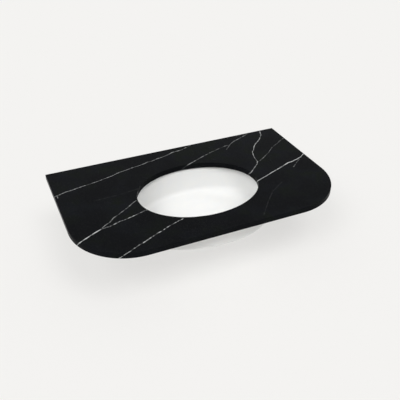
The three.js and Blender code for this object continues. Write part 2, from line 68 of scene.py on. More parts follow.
class Body(Enum):
    """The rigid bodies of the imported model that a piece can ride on."""

    TOP = "sink_top"
    PLUG = "plug"


class Slot(Enum):
    """The record's material slots."""

    STONE = "veined_stone"
    CHINA = "vitreous_china"
    SILICONE = "silicone"
    BRASS = "brass"
    ZINC = "zinc_steel"
    CHROME = "chrome"
    RUBBER = "black_rubber"
    NYLON = "nylon"


# Colours and nodes


def linear(code: str) -> tuple[float, float, float, float]:
    """Turns an sRGB hex code into a linear colour.

    Args:
        code: six hex digits.

    Returns:
        Red, green, blue and an alpha of 1.
    """
    parts = [int(code[i : i + 2], 16) / 255 for i in (0, 2, 4)]
    bent = [p / 12.92 if p <= 0.04045 else ((p + 0.055) / 1.055) ** 2.4 for p in parts]
    return (bent[0], bent[1], bent[2], 1.0)


def add_node(
    tree: Tree,
    kind: str,
    settings: dict[str | int, Any] | None = None,
    links: dict[str | int, Socket] | None = None,
) -> Node:
    """Adds one node with its settings and links.

    Args:
        tree: the node tree that gets the node.
        kind: Blender's name for the node's type, without "ShaderNode".
        settings: a property in lower case, or an input's name or number, and its value.
        links: an input's name or number, and the socket that feeds it.

    Returns:
        The new node.
    """
    node = tree.nodes.new(f"ShaderNode{kind}")
    for key, value in (settings or {}).items():
        if isinstance(key, str) and key[0].islower():
            setattr(node, key, value)
        else:
            node.inputs[key].default_value = value
    for key, socket in (links or {}).items():
        tree.links.new(socket, node.inputs[key])
    return node


@dataclass(frozen=True)
class Grain:
    """A pattern of soft lumps in a surface.

    Attributes:
        size: how wide a lump is, in millimetres.
        layers: how many finer layers it has.
        source: the part of the pattern, from 0 to 1, that is stretched.
        result: what the low and the high end of it become.
        squeeze: how much flatter than wide the lumps are.
        fall: how strong each finer layer is against the last.
    """

    size: float
    layers: float = 3.0
    source: Point = (0.0, 1.0)
    result: Point = (0.0, 1.0)
    squeeze: float = 1.0
    fall: float = 0.55

    def add(self, tree: Tree, place: Socket) -> Socket:
        """Adds the pattern to a material.

        Args:
            tree: the material's node tree.
            place: the point on the object, in millimetres.

        Returns:
            The pattern's value.
        """
        if self.squeeze != 1:
            place = add_node(
                tree, "Mapping", {"Scale": (1, 1, self.squeeze)}, {"Vector": place}
            ).outputs[0]
        settings = {"Scale": 1 / self.size, "Detail": self.layers, "Roughness": self.fall}
        lumps = add_node(tree, "TexNoise", settings, {"Vector": place}).outputs["Fac"]
        if self.source == self.result:
            return lumps
        ends = dict(enumerate((*self.source, *self.result), start=1))
        return add_node(tree, "MapRange", ends, {0: lumps}).outputs[0]


@dataclass(frozen=True)
class Finish:
    """A surface finish in two tones, which makes its own node material.

    Attributes:
        name: the material's name, after the real one.
        slot: the record's material slot.
        tones: its two sRGB hex codes.
        tint: how much of the second tone there is.
        gloss: how rough it is, all over or as a pattern.
        relief: the pattern that stands out of it.
        rise: how high that stands, in millimetres.
        refraction: its index of refraction.
        metallic: 1 for a metal.
        specular: how strongly it mirrors, where 0.5 is what its refraction gives.
    """

    name: str
    slot: Slot
    tones: tuple[str, str]
    tint: Grain
    gloss: Grain | float
    relief: Grain | None = None
    rise: float = 0.0
    refraction: float = 1.5
    metallic: float = 0.0
    specular: float = 0.5

    def material(self) -> bpy.types.Material:
        """Makes the material, or finds it if a piece already has it.

        Returns:
            The material.
        """
        known = bpy.data.materials.get(self.name)
        if known:
            return known
        made = bpy.data.materials.new(self.name)
        made.use_nodes = True
        tree = made.node_tree
        tree.nodes.clear()
        where = add_node(tree, "TexCoord").outputs["Object"]
        in_mm = add_node(tree, "Mapping", {"Scale": (1 / MM,) * 3}, {"Vector": where})
        self.fill(tree, in_mm.outputs["Vector"])
        return made

    def fill(self, tree: Tree, place: Socket) -> None:
        """Adds the shader and the patterns that feed it.

        Args:
            tree: the material's node tree.
            place: the point on the object, in millimetres.
        """
        settings: dict[str | int, Any] = {
            "IOR": self.refraction,
            "Metallic": self.metallic,
            "Specular IOR Level": self.specular,
        }
        links: dict[str | int, Socket] = {"Base Color": self.colour(tree, place)}
        if isinstance(self.gloss, Grain):
            links["Roughness"] = self.gloss.add(tree, place)
        else:
            settings["Roughness"] = self.gloss
        if self.relief:
            height = {"Height": self.relief.add(tree, place)}
            bump = add_node(tree, "Bump", {"Distance": self.rise * MM}, height)
            links["Normal"] = bump.outputs["Normal"]
        shader = add_node(tree, "BsdfPrincipled", settings, links)
        add_node(tree, "OutputMaterial", links={"Surface": shader.outputs["BSDF"]})

    def colour(self, tree: Tree, place: Socket) -> Socket:
        """Mixes the two tones.

        Args:
            tree: the material's node tree.
            place: the point on the object, in millimetres.

        Returns:
            The colour.
        """
        first, second = (linear(tone) for tone in self.tones)
        settings = {"data_type": "RGBA", 6: first, 7: second}
        return add_node(tree, "Mix", settings, {0: self.tint.add(tree, place)}).outputs[2]


@dataclass(frozen=True)
class Vein:
    """One white vein of the stone.

    Attributes:
        route: its line over the stone, seen from above, in millimetres.
        width: from its middle to where it has faded, in millimetres.
        strength: how white its middle is.
        whole: 1 for an unbroken vein, and less for more gaps.
    """

    route: tuple[Point, ...]
    width: float
    strength: float
    whole: float


VEINS = (
    # The long vein along the wall, and the twig at its left end
    Vein(
        (
            (-473, -162), (-452, -154), (-427, -145), (-405, -142), (-375, -134), (-338, -128),
            (-300, -119), (-272, -111), (-252, -106), (-233, -97), (-218, -92), (-190, -86),
            (-173, -81), (-144, -76), (-118, -69), (-104, -63), (-84, -62), (-61, -53), (-40, -50),
            (-12, -41), (9, -30), (49, -26), (99, -3),
        ),
        2.0,
        0.6,
        0.8,
    ),
    Vein(((-460, -159), (-460, -176)), 2.0, 0.45, 1.0),
    # The vein on the ledge to the right, and its twig
    Vein(
        (
            (-24, -168), (18, -148), (71, -123), (101, -109), (143, -91), (168, -82), (199, -72),
            (222, -65), (240, -65), (265, -46), (285, -37), (303, -30), (324, -20), (354, -6),
        ),
        1.9,
        0.47,
        0.75,
    ),
    Vein(((240, -65), (225, -81), (210, -95)), 1.7, 0.23, 1.0),
    # The vein that bends down the right side to the cut-out, and its branch to the right edge
    Vein(
        (
            (411, -1), (396, -39), (375, -66), (357, -83), (337, -99), (320, -119), (308, -138),
            (294, -153), (283, -187), (279, -206), (277, -225), (266, -242), (236, -269),
            (216, -288), (200, -304),
        ),
        2.2,
        0.68,
        0.9,
    ),
    Vein(
        (
            (271, -230), (290, -222), (305, -214), (332, -194), (354, -178), (379, -154),
            (401, -140), (422, -128), (441, -114), (469, -99),
        ),
        1.8,
        0.38,
        0.6,
    ),
    # The broad vein from the right edge to the cut-out, and its twig
    Vein(
        (
            (469, -243), (443, -262), (422, -270), (397, -278), (376, -281), (347, -293),
            (324, -303), (286, -317), (252, -332), (227, -341), (204, -350),
        ),
        2.3,
        0.98,
        1.0,
    ),
    Vein(((431, -274), (406, -292), (378, -316)), 1.9, 0.5, 0.85),
    # The two veins left of the cut-out, and the broad one that they join, out to the left edge
    Vein(
        (
            (-220, -291), (-230, -297), (-249, -311), (-263, -323), (-278, -332), (-297, -345),
            (-310, -353), (-322, -360), (-329, -368), (-337, -377), (-356, -387), (-372, -400),
        ),
        1.9,
        0.46,
        0.85,
    ),
    Vein(
        (
            (-204, -357), (-227, -365), (-250, -372), (-276, -380), (-296, -385), (-308, -386),
            (-326, -393), (-344, -399), (-354, -400), (-372, -402),
        ),
        2.1,
        0.84,
        0.72,
    ),
    Vein(
        (
            (-372, -402), (-388, -409), (-414, -422), (-439, -436), (-448, -441), (-462, -449),
        ),
        2.5,
        0.98,
        1.0,
    ),
    # The vein across the front, left of the middle
    Vein(
        (
            (-116, -452), (-140, -460), (-171, -471), (-188, -479), (-203, -487), (-220, -493),
            (-239, -502), (-254, -509), (-262, -513), (-276, -520), (-292, -526), (-303, -532),
            (-314, -537), (-324, -543), (-334, -547), (-347, -552), (-357, -553), (-369, -557),
        ),
        2.1,
        0.78,
        0.65,
    ),
    # Two that barely show
    Vein(((288, -387), (225, -428), (184, -471), (125, -541)), 2.6, 0.03, 0.8),
    Vein(((-358, -239), (-270, -236), (-177, -224)), 2.4, 0.03, 0.8),
)


@dataclass(frozen=True)
class BlackMarble(Finish):
    """Black marble with veins of white calcite, sawn and polished.

    To the eye it is near black, with a faint cloud of blue and green, and its thin veins swell and break.

    Attributes:
        dark: the stone between the clouds.
        calcite: the veins and the finest crystals.
        cloud: where the blue and green lie.
        crystal: the fine specks.
        swell: how thick a vein is, about 1.
        gaps: what breaks the weaker veins.
        gap_level: the level of the pattern below which the weakest vein and a whole one are broken.
        gap_edge: how soft a gap's edge is.
        gap_rest: what is left of a vein in its gaps.
        bends: the bends of the veins, whose three colours move a vein along X, Y and Z.
        wander: how far the bends reach, in millimetres.
        margin: how much room a vein's curve has on either side of its line, in millimetres.
        fade: how long a vein's ends are, in millimetres.
        top: the height of the top face, in millimetres.
        dip: how far a vein moves for each millimetre down.
    """

    name: str = "black_veined_marble_polished"
    slot: Slot = Slot.STONE
    tones: tuple[str, str] = ("17191d", "151816")
    tint: Grain = Grain(55.0, 2.0, (0.45, 0.6), (0.0, 1.0))
    gloss: Grain | float = Grain(60.0, 3.0, (0.3, 0.7), (0.2, 0.28))
    specular: float = 0.008
    dark: str = "121315"
    calcite: str = "dcdedd"
    cloud: Grain = Grain(110.0, 4.0, (0.42, 0.66), (0.0, 1.0))
    crystal: Grain = Grain(1.6, 2.0, (0.6, 0.8), (0.0, 0.05))
    swell: Grain = Grain(24.0, 4.0, (0.34, 0.66), (0.35, 1.6))
    gaps: Grain = Grain(11.0)
    gap_level: Point = (0.56, 0.34)
    gap_edge: float = 0.2
    gap_rest: float = 0.12
    bends: Grain = Grain(9.0, 4.0, fall=0.62)
    wander: float = 2.8
    margin: float = 1.0
    fade: float = 9.0
    top: float = 20.0
    dip: Spot = (0.42, -0.74, 0.0)

    def colour(self, tree: Tree, place: Socket) -> Socket:
        """Lays the clouds, the crystals and the veins over the dark stone.

        Args:
            tree: the material's node tree.
            place: the point on the stone, in millimetres.

        Returns:
            The colour.
        """
        layers = {0: self.cloud.add(tree, place), 7: super().colour(tree, place)}
        made = add_node(tree, "Mix", {"data_type": "RGBA", 6: linear(self.dark)}, layers).outputs[2]
        white = {"data_type": "RGBA", 7: linear(self.calcite)}
        for share in (self.crystal.add(tree, place), self.veins(tree, place)):
            made = add_node(tree, "Mix", white, {0: share, 6: made}).outputs[2]
        return made

    def veins(self, tree: Tree, place: Socket) -> Socket:
        """Adds all the veins and keeps the strongest at each point.

        Args:
            tree: the material's node tree.
            place: the point on the stone, in millimetres.

        Returns:
            The veins' share of the colour.
        """
        bent = self.bent(tree, place)
        swell = self.swell.add(tree, place)
        gaps = self.gaps.add(tree, place)
        strongest, *others = [self.one_vein(tree, vein, bent, swell, gaps) for vein in VEINS]
        for other in others:
            both = {0: strongest, 1: other}
            strongest = add_node(tree, "Math", {"operation": "MAXIMUM"}, both).outputs[0]
        return strongest

    def bent(self, tree: Tree, place: Socket) -> Socket:
        """Slopes the veins through the slab, as they lie in the rock, and lets them wander.

        Args:
            tree: the material's node tree.
            place: the point on the stone, in millimetres.

        Returns:
            The point on the top face where the same vein comes out, moved a little.
        """
        height = add_node(tree, "SeparateXYZ", links={0: place}).outputs["Z"]
        depth = add_node(tree, "Math", {"operation": "SUBTRACT", 0: self.top}, {1: height}).outputs[0]
        sloped = {"operation": "MULTIPLY_ADD", 1: self.dip}
        dipped = add_node(tree, "VectorMath", sloped, {0: depth, 2: place}).outputs[0]
        lumps = {"Scale": 1 / self.bends.size, "Detail": self.bends.layers, "Roughness": self.bends.fall}
        bends = add_node(tree, "TexNoise", lumps, {"Vector": dipped}).outputs["Color"]
        middle = {"operation": "SUBTRACT", 1: (0.5,) * 3}
        centred = add_node(tree, "VectorMath", middle, {0: bends}).outputs[0]
        moved = {"operation": "MULTIPLY_ADD", 1: (self.wander,) * 3}
        return add_node(tree, "VectorMath", moved, {0: centred, 2: dipped}).outputs[0]

    def one_vein(self, tree: Tree, vein: Vein, place: Socket, swell: Socket, gaps: Socket) -> Socket:
        """Adds one vein as a curve along its own chord.

        Args:
            tree: the material's node tree.
            vein: which one.
            place: the point on the stone in millimetres, with its slope and bends.
            swell: how thick a vein is there.
            gaps: what breaks the weaker veins.

        Returns:
            The vein's share of the colour.
        """
        start = Vector(vein.route[0])
        chord = Vector(vein.route[-1]) - start
        along = chord.normalized()
        across = Vector((-along.y, along.x))
        steps = [Vector(point) - start for point in vein.route]
        knots = [(step.dot(along) / chord.length, step.dot(across)) for step in steps]
        low = min(side for _, side in knots) - self.margin
        reach = max(side for _, side in knots) + self.margin - low
        on_chord = {
            "vector_type": "TEXTURE",
            "Location": (start.x, start.y, 0),
            "Rotation": (0, 0, math.atan2(along.y, along.x)),
            "Scale": (chord.length, 1, 1),
        }
        local = add_node(tree, "Mapping", on_chord, {"Vector": place}).outputs[0]
        split = add_node(tree, "SeparateXYZ", links={0: local}).outputs
        curve = self.drawn(tree, [(share, (side - low) / reach) for share, side in knots], split["X"])
        in_place = {"operation": "MULTIPLY_ADD", 1: reach, 2: low}
        line = add_node(tree, "Math", in_place, {0: curve}).outputs[0]
        offset = add_node(tree, "Math", {"operation": "SUBTRACT"}, {0: split["Y"], 1: line}).outputs[0]
        distance = add_node(tree, "Math", {"operation": "ABSOLUTE"}, {0: offset}).outputs[0]
        thick = {"operation": "MULTIPLY", 1: vein.width}
        edge = add_node(tree, "Math", thick, {0: swell}).outputs[0]
        falling = {"interpolation_type": "SMOOTHSTEP", 1: 0.0, 3: vein.strength, 4: 0.0}
        white = add_node(tree, "MapRange", falling, {0: distance, 2: edge}).outputs[0]
        from_middle = add_node(
            tree, "Math", {"operation": "SUBTRACT", 1: 0.5}, {0: split["X"]}
        ).outputs[0]
        outward = add_node(tree, "Math", {"operation": "ABSOLUTE"}, {0: from_middle}).outputs[0]
        ends = {1: 0.5 - self.fade / chord.length / 2, 2: 0.5, 3: 1.0, 4: 0.0}
        shares = [add_node(tree, "MapRange", ends, {0: outward}).outputs[0]]
        if vein.whole < 1:
            broken, unbroken = self.gap_level
            closed = unbroken + (broken - unbroken) * (1 - vein.whole)
            opened = {1: closed, 2: closed + self.gap_edge, 3: self.gap_rest, 4: 1.0}
            shares.append(add_node(tree, "MapRange", opened, {0: gaps}).outputs[0])
        for share in shares:
            white = add_node(tree, "Math", {"operation": "MULTIPLY"}, {0: white, 1: share}).outputs[0]
        return white

    def drawn(self, tree: Tree, knots: Sequence[Point], along: Socket) -> Socket:
        """Draws a vein's line as a curve of straight stretches.

        Args:
            tree: the material's node tree.
            knots: the line's points, from 0 to 1 each way.
            along: how far along the line a point lies.

        Returns:
            How far aside the line lies there.
        """
        curve = add_node(tree, "FloatCurve", links={"Value": along})
        line = curve.mapping.curves[0]
        line.points[0].location = knots[0]
        line.points[1].location = knots[-1]
        for share, side in knots[1:-1]:
            line.points.new(share, side)
        for knot in line.points:
            knot.handle_type = "VECTOR"
        curve.mapping.update()
        return curve.outputs[0]


MARBLE = BlackMarble()

# Vitreous china, slip cast and fired under a clear glaze: cool white, wet gloss, and the glaze's slow ripple
CHINA = Finish(
    "vitreous_china_glazed",
    Slot.CHINA,
    ("f4f4f2", "f1f2f2"),
    tint=Grain(26.0, 1.0, (0.35, 0.65), (0.0, 0.6)),
    gloss=Grain(45.0, 3.0, (0.3, 0.7), (0.07, 0.12)),
    relief=Grain(26.0, 1.0),
    rise=0.02,
    refraction=1.52,
)
# Sanitary silicone, gunned and tooled: milky and satin, with the drag of the tool in it
SILICONE = Finish(
    "silicone_tooled",
    Slot.SILICONE,
    ("d9dad6", "cfd1cf"),
    tint=Grain(5.0, 2.0),
    gloss=0.42,
    relief=Grain(5.0, 2.0),
    rise=0.12,
    refraction=1.41,
)
# Chromium plate over brass, buffed: a mirror with a slightly blue, dark reflection and the odd dull wipe mark
CHROME = Finish(
    "chrome_plated_brass",
    Slot.CHROME,
    ("e2e5e8", "d6dade"),
    tint=Grain(22.0, 3.0, (0.35, 0.65), (0.0, 1.0)),
    gloss=Grain(22.0, 3.0, (0.3, 0.7), (0.04, 0.1)),
    metallic=1.0,
)
# Brass, turned on a lathe and left bare: yellow, satin, with fine rings where the tool ran
BRASS = Finish(
    "brass_turned",
    Slot.BRASS,
    ("c29e58", "ab8546"),
    tint=Grain(2.2, 3.0, (0.35, 0.65), (0.0, 1.0), 9.0),
    gloss=Grain(2.2, 3.0, (0.3, 0.7), (0.24, 0.4), 9.0),
    relief=Grain(2.2, squeeze=9.0),
    rise=0.02,
    metallic=1.0,
)
# Mild steel, pressed and bright zinc plated: pale blue-grey, satin, with a cloudy passivation
ZINC = Finish(
    "steel_zinc_plated",
    Slot.ZINC,
    ("c6cacf", "b2b7bc"),
    tint=Grain(4.0, 3.0, (0.35, 0.65), (0.0, 1.0)),
    gloss=Grain(4.0, 3.0, (0.3, 0.7), (0.26, 0.42)),
    relief=Grain(4.0),
    rise=0.01,
    metallic=1.0,
)
# EPDM rubber, compression moulded: matt black and dusty, with its fine grain drawn coarse enough to show
RUBBER = Finish(
    "epdm_rubber_moulded",
    Slot.RUBBER,
    ("1a1a1b", "252526"),
    tint=Grain(1.2),
    gloss=0.62,
    relief=Grain(1.2),
    rise=0.03,
    refraction=1.52,
)
# Nylon 6, moulded and uncoloured: warm milky white, satin, with its fine grain drawn coarse enough to show
NYLON = Finish(
    "nylon_moulded",
    Slot.NYLON,
    ("e9e6dd", "dedbd1"),
    tint=Grain(2.0),
    gloss=0.4,
    relief=Grain(2.0),
    rise=0.02,
    refraction=1.53,
)


# Forms, all in millimetres until they become pieces


@dataclass(frozen=True)
class Ring:
    """One oval ring of a lofted form.

    Attributes:
        length: half of its length.
        depth: half of its depth.
        height: where it lies.
        squareness: 2 for an ellipse, and more for fuller corners.
    """

    length: float
    depth: float
    height: float
    squareness: float = 2.0

    def grown(self, by: float, height: float | None = None) -> "Ring":
        """The same oval, larger all round, and at another height if one is given."""
        level = self.height if height is None else height
        return Ring(self.length + by, self.depth + by, level, self.squareness)

    def toward(self, other: "Ring", share: float, drop: float = 0.0) -> "Ring":
        """A ring between this one and another.

        Args:
            other: the ring at share 1.
            share: how far to go.
            drop: how much lower it lies than the straight line.

        Returns:
            The ring between them.
        """
        pairs = zip(astuple(self), astuple(other))
        length, depth, height, squareness = (a + (b - a) * share for a, b in pairs)
        return Ring(length, depth, height - drop, squareness)

    def point(self, angle: float) -> Point:
        """Where the ring is, about its own centre.

        Args:
            angle: at what angle from X.

        Returns:
            The point's place.
        """
        along, aside = math.cos(angle), math.sin(angle)
        power = 2 / self.squareness
        return (
            self.length * math.copysign(abs(along) ** power, along),
            self.depth * math.copysign(abs(aside) ** power, aside),
        )


def rounded(start: Ring, corner: Ring, end: Ring, steps: int) -> list[Ring]:
    """Rings that round the corner between two others.

    Args:
        start: the first ring.
        corner: where the sharp corner would be.
        end: the last ring.
        steps: how many faces the round has.

    Returns:
        The rings from start to end.
    """
    return [
        start.toward(corner, i / steps).toward(corner.toward(end, i / steps), i / steps)
        for i in range(steps + 1)
    ]


def loop_of(bm: Form, ring: Ring, sides: int) -> list[bmesh.types.BMEdge]:
    """Makes one ring of edges.

    Args:
        bm: the form that gets it.
        ring: its size and height.
        sides: how many edges it has.

    Returns:
        The ring's edges.
    """
    made = bmesh.ops.create_circle(bm, cap_ends=False, radius=1, segments=sides)
    for vert in made["verts"]:
        x, y = ring.point(math.atan2(vert.co.y, vert.co.x))
        vert.co = (x, y, ring.height)
    return list({edge for vert in made["verts"] for edge in vert.link_edges})


def loft(bm: Form, rings: Sequence[Ring], sides: int) -> None:
    """Bridges rings in turn, and the last to the first, into a closed form.

    Args:
        bm: the form that gets it.
        rings: the rings, once round the form's wall.
        sides: how many sides each has.
    """
    loops = [loop_of(bm, ring, sides) for ring in rings]
    for one, two in pairwise([*loops, loops[0]]):
        bmesh.ops.bridge_loops(bm, edges=one + two)


def turn(bm: Form, profile: Sequence[Point], sides: int) -> None:
    """Spins a closed profile of (radius, height) points about the Z axis.

    Args:
        bm: the form that gets it.
        profile: the points, once round the wall.
        sides: how many steps the spin takes.
    """
    verts = [bm.verts.new((radius, 0, height)) for radius, height in profile]
    pairs = pairwise([*verts, verts[0]])
    edges = [bm.edges.new(pair) for pair in pairs if pair[0].co.x + pair[1].co.x > 0]
    bmesh.ops.spin(
        bm,
        geom=verts + edges,
        cent=(0, 0, 0),
        axis=(0, 0, 1),
        dvec=(0, 0, 0),
        angle=FULL_TURN,
        steps=sides,
        use_merge=True,
        use_duplicate=False,
    )
    bmesh.ops.remove_doubles(bm, verts=bm.verts[:], dist=TURNED_WELD)


@dataclass(frozen=True)
class Outline:
    """A closed outline with some of its corners rounded.

    Attributes:
        points: its points, once round.
        rounds: the numbers of the corners that are rounded, and how far back each round starts.
        steps: how many lines each round has.
    """

    points: Sequence[Point]
    rounds: dict[int, float]
    steps: int = 4

    def eased(self) -> list[Point]:
        """Rounds the corners.

        Returns:
            The outline with its rounds.
        """
        made: list[Point] = []
        for i, here in enumerate(self.points):
            if i not in self.rounds:
                made.append(here)
                continue
            corner = Vector(here)
            before = Vector(self.points[i - 1]) - corner
            after = Vector(self.points[(i + 1) % len(self.points)]) - corner
            start = corner + before.normalized() * self.rounds[i]
            end = corner + after.normalized() * self.rounds[i]
            for step in range(self.steps + 1):
                share = step / self.steps
                spot = start.lerp(corner, share).lerp(corner.lerp(end, share), share)
                made.append((spot.x, spot.y))
        return made


def screw_thread(bm: Form, crest: float, depth: float, pitch: float, ends: Point, sides: int) -> None:
    """Winds a V thread round the Z axis and trims it level at both ends.

    Args:
        bm: the form that gets the thread.
        crest: the thread's largest radius.
        depth: from the crest down to the root.
        pitch: from crest to crest.
        ends: the heights where it starts and stops.
        sides: how many steps each turn has.
    """
    wound = bmesh.new()
    low, high = ends
    root = crest - depth
    tooth = ((root, 0), (crest, pitch * 0.45), (crest, pitch * 0.55), (root, pitch))
    verts = [wound.verts.new((x, 0, low - pitch + z)) for x, z in tooth]
    edges = [wound.edges.new(pair) for pair in pairwise(verts)]
    turns = (high - low) / pitch + 2
    steps = round(turns * sides)
    bmesh.ops.spin(
        wound,
        geom=verts + edges,
        cent=(0, 0, 0),
        axis=(0, 0, 1),
        dvec=(0, 0, turns * pitch / steps),
        angle=FULL_TURN * turns,
        steps=steps,
        use_merge=False,
        use_duplicate=False,
    )
    bmesh.ops.remove_doubles(wound, verts=wound.verts[:], dist=THREAD_WELD)
    for level, outward in ((low, -1), (high, 1)):
        bmesh.ops.bisect_plane(
            wound,
            geom=wound.verts[:] + wound.edges[:] + wound.faces[:],
            dist=ON_PLANE,
            plane_co=(0, 0, level),
            plane_no=(0, 0, outward),
            clear_outer=True,
        )
    join_into(bm, wound)


def extrude(bm: Form, by: Spot) -> None:
    """Extrudes a flat form into a solid.

    Args:
        bm: the form.
        by: how far.
    """
    grown = bmesh.ops.extrude_face_region(bm, geom=bm.faces[:])
    moved = [v for v in grown["geom"] if isinstance(v, bmesh.types.BMVert)]
    bmesh.ops.translate(bm, vec=by, verts=moved)


def prism(outline: Sequence[Spot], by: Spot) -> Form:
    """Makes a solid from a flat outline.

    Args:
        outline: its corners in turn.
        by: how far they are extruded.

    Returns:
        The solid.
    """
    bm = bmesh.new()
    bm.faces.new([bm.verts.new(spot) for spot in outline])
    extrude(bm, by)
    bmesh.ops.recalc_face_normals(bm, faces=bm.faces[:])
    return bm


def bevel(bm: Form, geom: Sequence[Any], width: float, steps: int, affect: str = "EDGES") -> None:
    """Bevels edges, or the corners of an outline.

    Args:
        bm: the form.
        geom: the edges or corners.
        width: how wide the bevel is.
        steps: how many faces it has.
        affect: EDGES or VERTICES.
    """
    bmesh.ops.bevel(
        bm,
        geom=geom,
        offset=width,
        offset_type="OFFSET",
        segments=steps,
        profile=0.5,
        affect=affect,
        material=-1,
    )


def soften(bm: Form, width: float, steps: int = 2) -> None:
    """Bevels every edge of a form that is sharper than the shading limit."""
    sharp = [e for e in bm.edges if e.is_manifold and e.calc_face_angle(0) > SHARP_ANGLE]
    bevel(bm, sharp, width, steps)


def join_into(bm: Form, other: Form) -> None:
    """Moves one form into another and frees it.

    Args:
        bm: the form that gets it.
        other: the form that is moved.
    """
    carrier = bpy.data.meshes.new("carrier")
    other.to_mesh(carrier)
    other.free()
    bm.from_mesh(carrier)
    bpy.data.meshes.remove(carrier)


def in_metres(bm: Form) -> Form:
    """Turns a form's faces outwards and its millimetres into metres.

    Args:
        bm: the form.

    Returns:
        The same form.
    """
    bmesh.ops.recalc_face_normals(bm, faces=bm.faces[:])
    bmesh.ops.scale(bm, vec=(MM,) * 3, verts=bm.verts[:])
    return bm


def put(name: str, bm: Form) -> bpy.types.Object:
    """Puts a form, in metres, into the scene as an object.

    Args:
        name: the object's name.
        bm: the form, which is freed.

    Returns:
        The object.
    """
    mesh = bpy.data.meshes.new(name)
    bm.to_mesh(mesh)
    bm.free()
    obj = bpy.data.objects.new(name, mesh)
    bpy.context.scene.collection.objects.link(obj)
    return obj


def cut_away(obj: bpy.types.Object, cutter: Form) -> None:
    """Takes a closed form, in millimetres, out of a piece for good, and shades the piece again.

    Args:
        obj: the piece.
        cutter: the form that is taken out, which is freed.
    """
    tool = put("cutter", in_metres(cutter))
    opening = obj.modifiers.new("opening", "BOOLEAN")
    opening.operation = "DIFFERENCE"
    opening.solver = "EXACT"
    opening.object = tool
    bpy.context.view_layer.update()
    evaluated = obj.evaluated_get(bpy.context.evaluated_depsgraph_get())
    cut = bpy.data.meshes.new_from_object(evaluated)
    obj.modifiers.clear()
    old, obj.data = obj.data, cut
    cut.name = old.name
    form = tool.data
    bpy.data.objects.remove(tool)
    for used in (old, form):
        bpy.data.meshes.remove(used)
    shade(obj)


def shade(obj: bpy.types.Object) -> None:
    """Shades a piece smooth, and sharp over its hard edges.

    Args:
        obj: the piece.
    """
    bm = bmesh.new()
    bm.from_mesh(obj.data)
    for face in bm.faces:
        face.smooth = True
    for edge in bm.edges:
        edge.smooth = edge.calc_face_angle(0) < SHARP_ANGLE
    bm.to_mesh(obj.data)
    bm.free()


def make_piece(
    name: str,
    bm: Form,
    finish: Finish,
    nodes: Iterable[str],
    body: Body = Body.TOP,
) -> bpy.types.Object:
    """Turns a form in millimetres into a dressed piece that rides on its body.

    Args:
        name: the piece's name.
        bm: its form, which is freed.
        finish: its surface.
        nodes: the CAD nodes that it stands for.
        body: what it rides on.

    Returns:
        The new object.
    """
    obj = put(name, in_metres(bm))
    obj.data.materials.append(finish.material())
    shade(obj)
    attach(obj, body.value)
    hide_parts(*nodes)
    LOG.info("%s: %d faces, %s", name, len(obj.data.polygons), finish.name)
    return obj


# The stone


@dataclass
class StoneTop:
    """The slab: square at the wall, rounded at the front, with an oval cut-out and blind holes for clips."""

    width: float = 940.0
    depth: float = 559.0
    thickness: float = 20.0
    front_radius: float = 199.0
    cutout_length: float = 436.0
    cutout_depth: float = 331.0
    cutout_from_wall: float = 305.0
    arris: float = 1.0
    corner_steps: int = 56
    cutout_sides: int = 192
    hole_start: float = -1.0
    hole_sides: int = 24

    def build(self, clips: "Clips") -> None:
        """Builds and dresses the slab.

        Args:
            clips: what hangs from its blind holes.
        """
        bm = bmesh.new()
        self.half_face(bm)
        extrude(bm, (0, 0, self.thickness))
        seam = [f for f in bm.faces if abs(f.calc_center_median().x) < NEAR]
        bmesh.ops.delete(bm, geom=seam, context="FACES")
        whole = bm.verts[:] + bm.edges[:] + bm.faces[:]
        bmesh.ops.mirror(bm, geom=whole, merge_dist=NEAR, axis="X")
        bmesh.ops.recalc_face_normals(bm, faces=bm.faces[:])
        soften(bm, self.arris)
        slab = make_piece("marble_slab", bm, MARBLE, ["stone_top"])
        low, high, radius = self.hole_start, clips.hole_depth, clips.hole_radius
        holes = bmesh.new()
        for station in clips.stations():
            hole = bmesh.new()
            turn(hole, [(0, low), (radius, low), (radius, high), (0, high)], self.hole_sides)
            bmesh.ops.transform(hole, matrix=station.stud_matrix(), verts=hole.verts[:])
            join_into(holes, hole)
        cut_away(slab, holes)
        slab.modifiers.new("even_shading", "WEIGHTED_NORMAL").keep_sharp = True

    def half_face(self, bm: Form) -> None:
        """Makes the underside of the slab's right half as one face.

        Args:
            bm: the form that gets it.
        """
        half = self.width / 2
        outline = ((-half, 0, 0), (half, 0, 0), (half, -self.depth, 0), (-half, -self.depth, 0))
        corners = [bm.verts.new(corner) for corner in outline]
        bm.faces.new(corners)
        bevel(bm, corners[2:], self.front_radius, self.corner_steps, "VERTICES")
        bmesh.ops.delete(bm, geom=bm.faces[:], context="FACES_ONLY")
        opening = loop_of(bm, Ring(self.cutout_length / 2, self.cutout_depth / 2, 0), self.cutout_sides)
        moved = list({v for e in opening for v in e.verts})
        bmesh.ops.translate(bm, vec=(0, -self.cutout_from_wall, 0), verts=moved)
        bmesh.ops.bisect_plane(
            bm,
            geom=bm.verts[:] + bm.edges[:],
            dist=ON_PLANE,
            plane_co=(0, 0, 0),
            plane_no=(-1, 0, 0),
            clear_outer=True,
        )
        ends = sorted((v for v in bm.verts if abs(v.co.x) < NEAR), key=lambda v: v.co.y)
        bm.edges.new((ends[0], ends[1]))
        bm.edges.new((ends[2], ends[3]))
        bmesh.ops.contextual_create(bm, geom=bm.edges[:])


# The basin


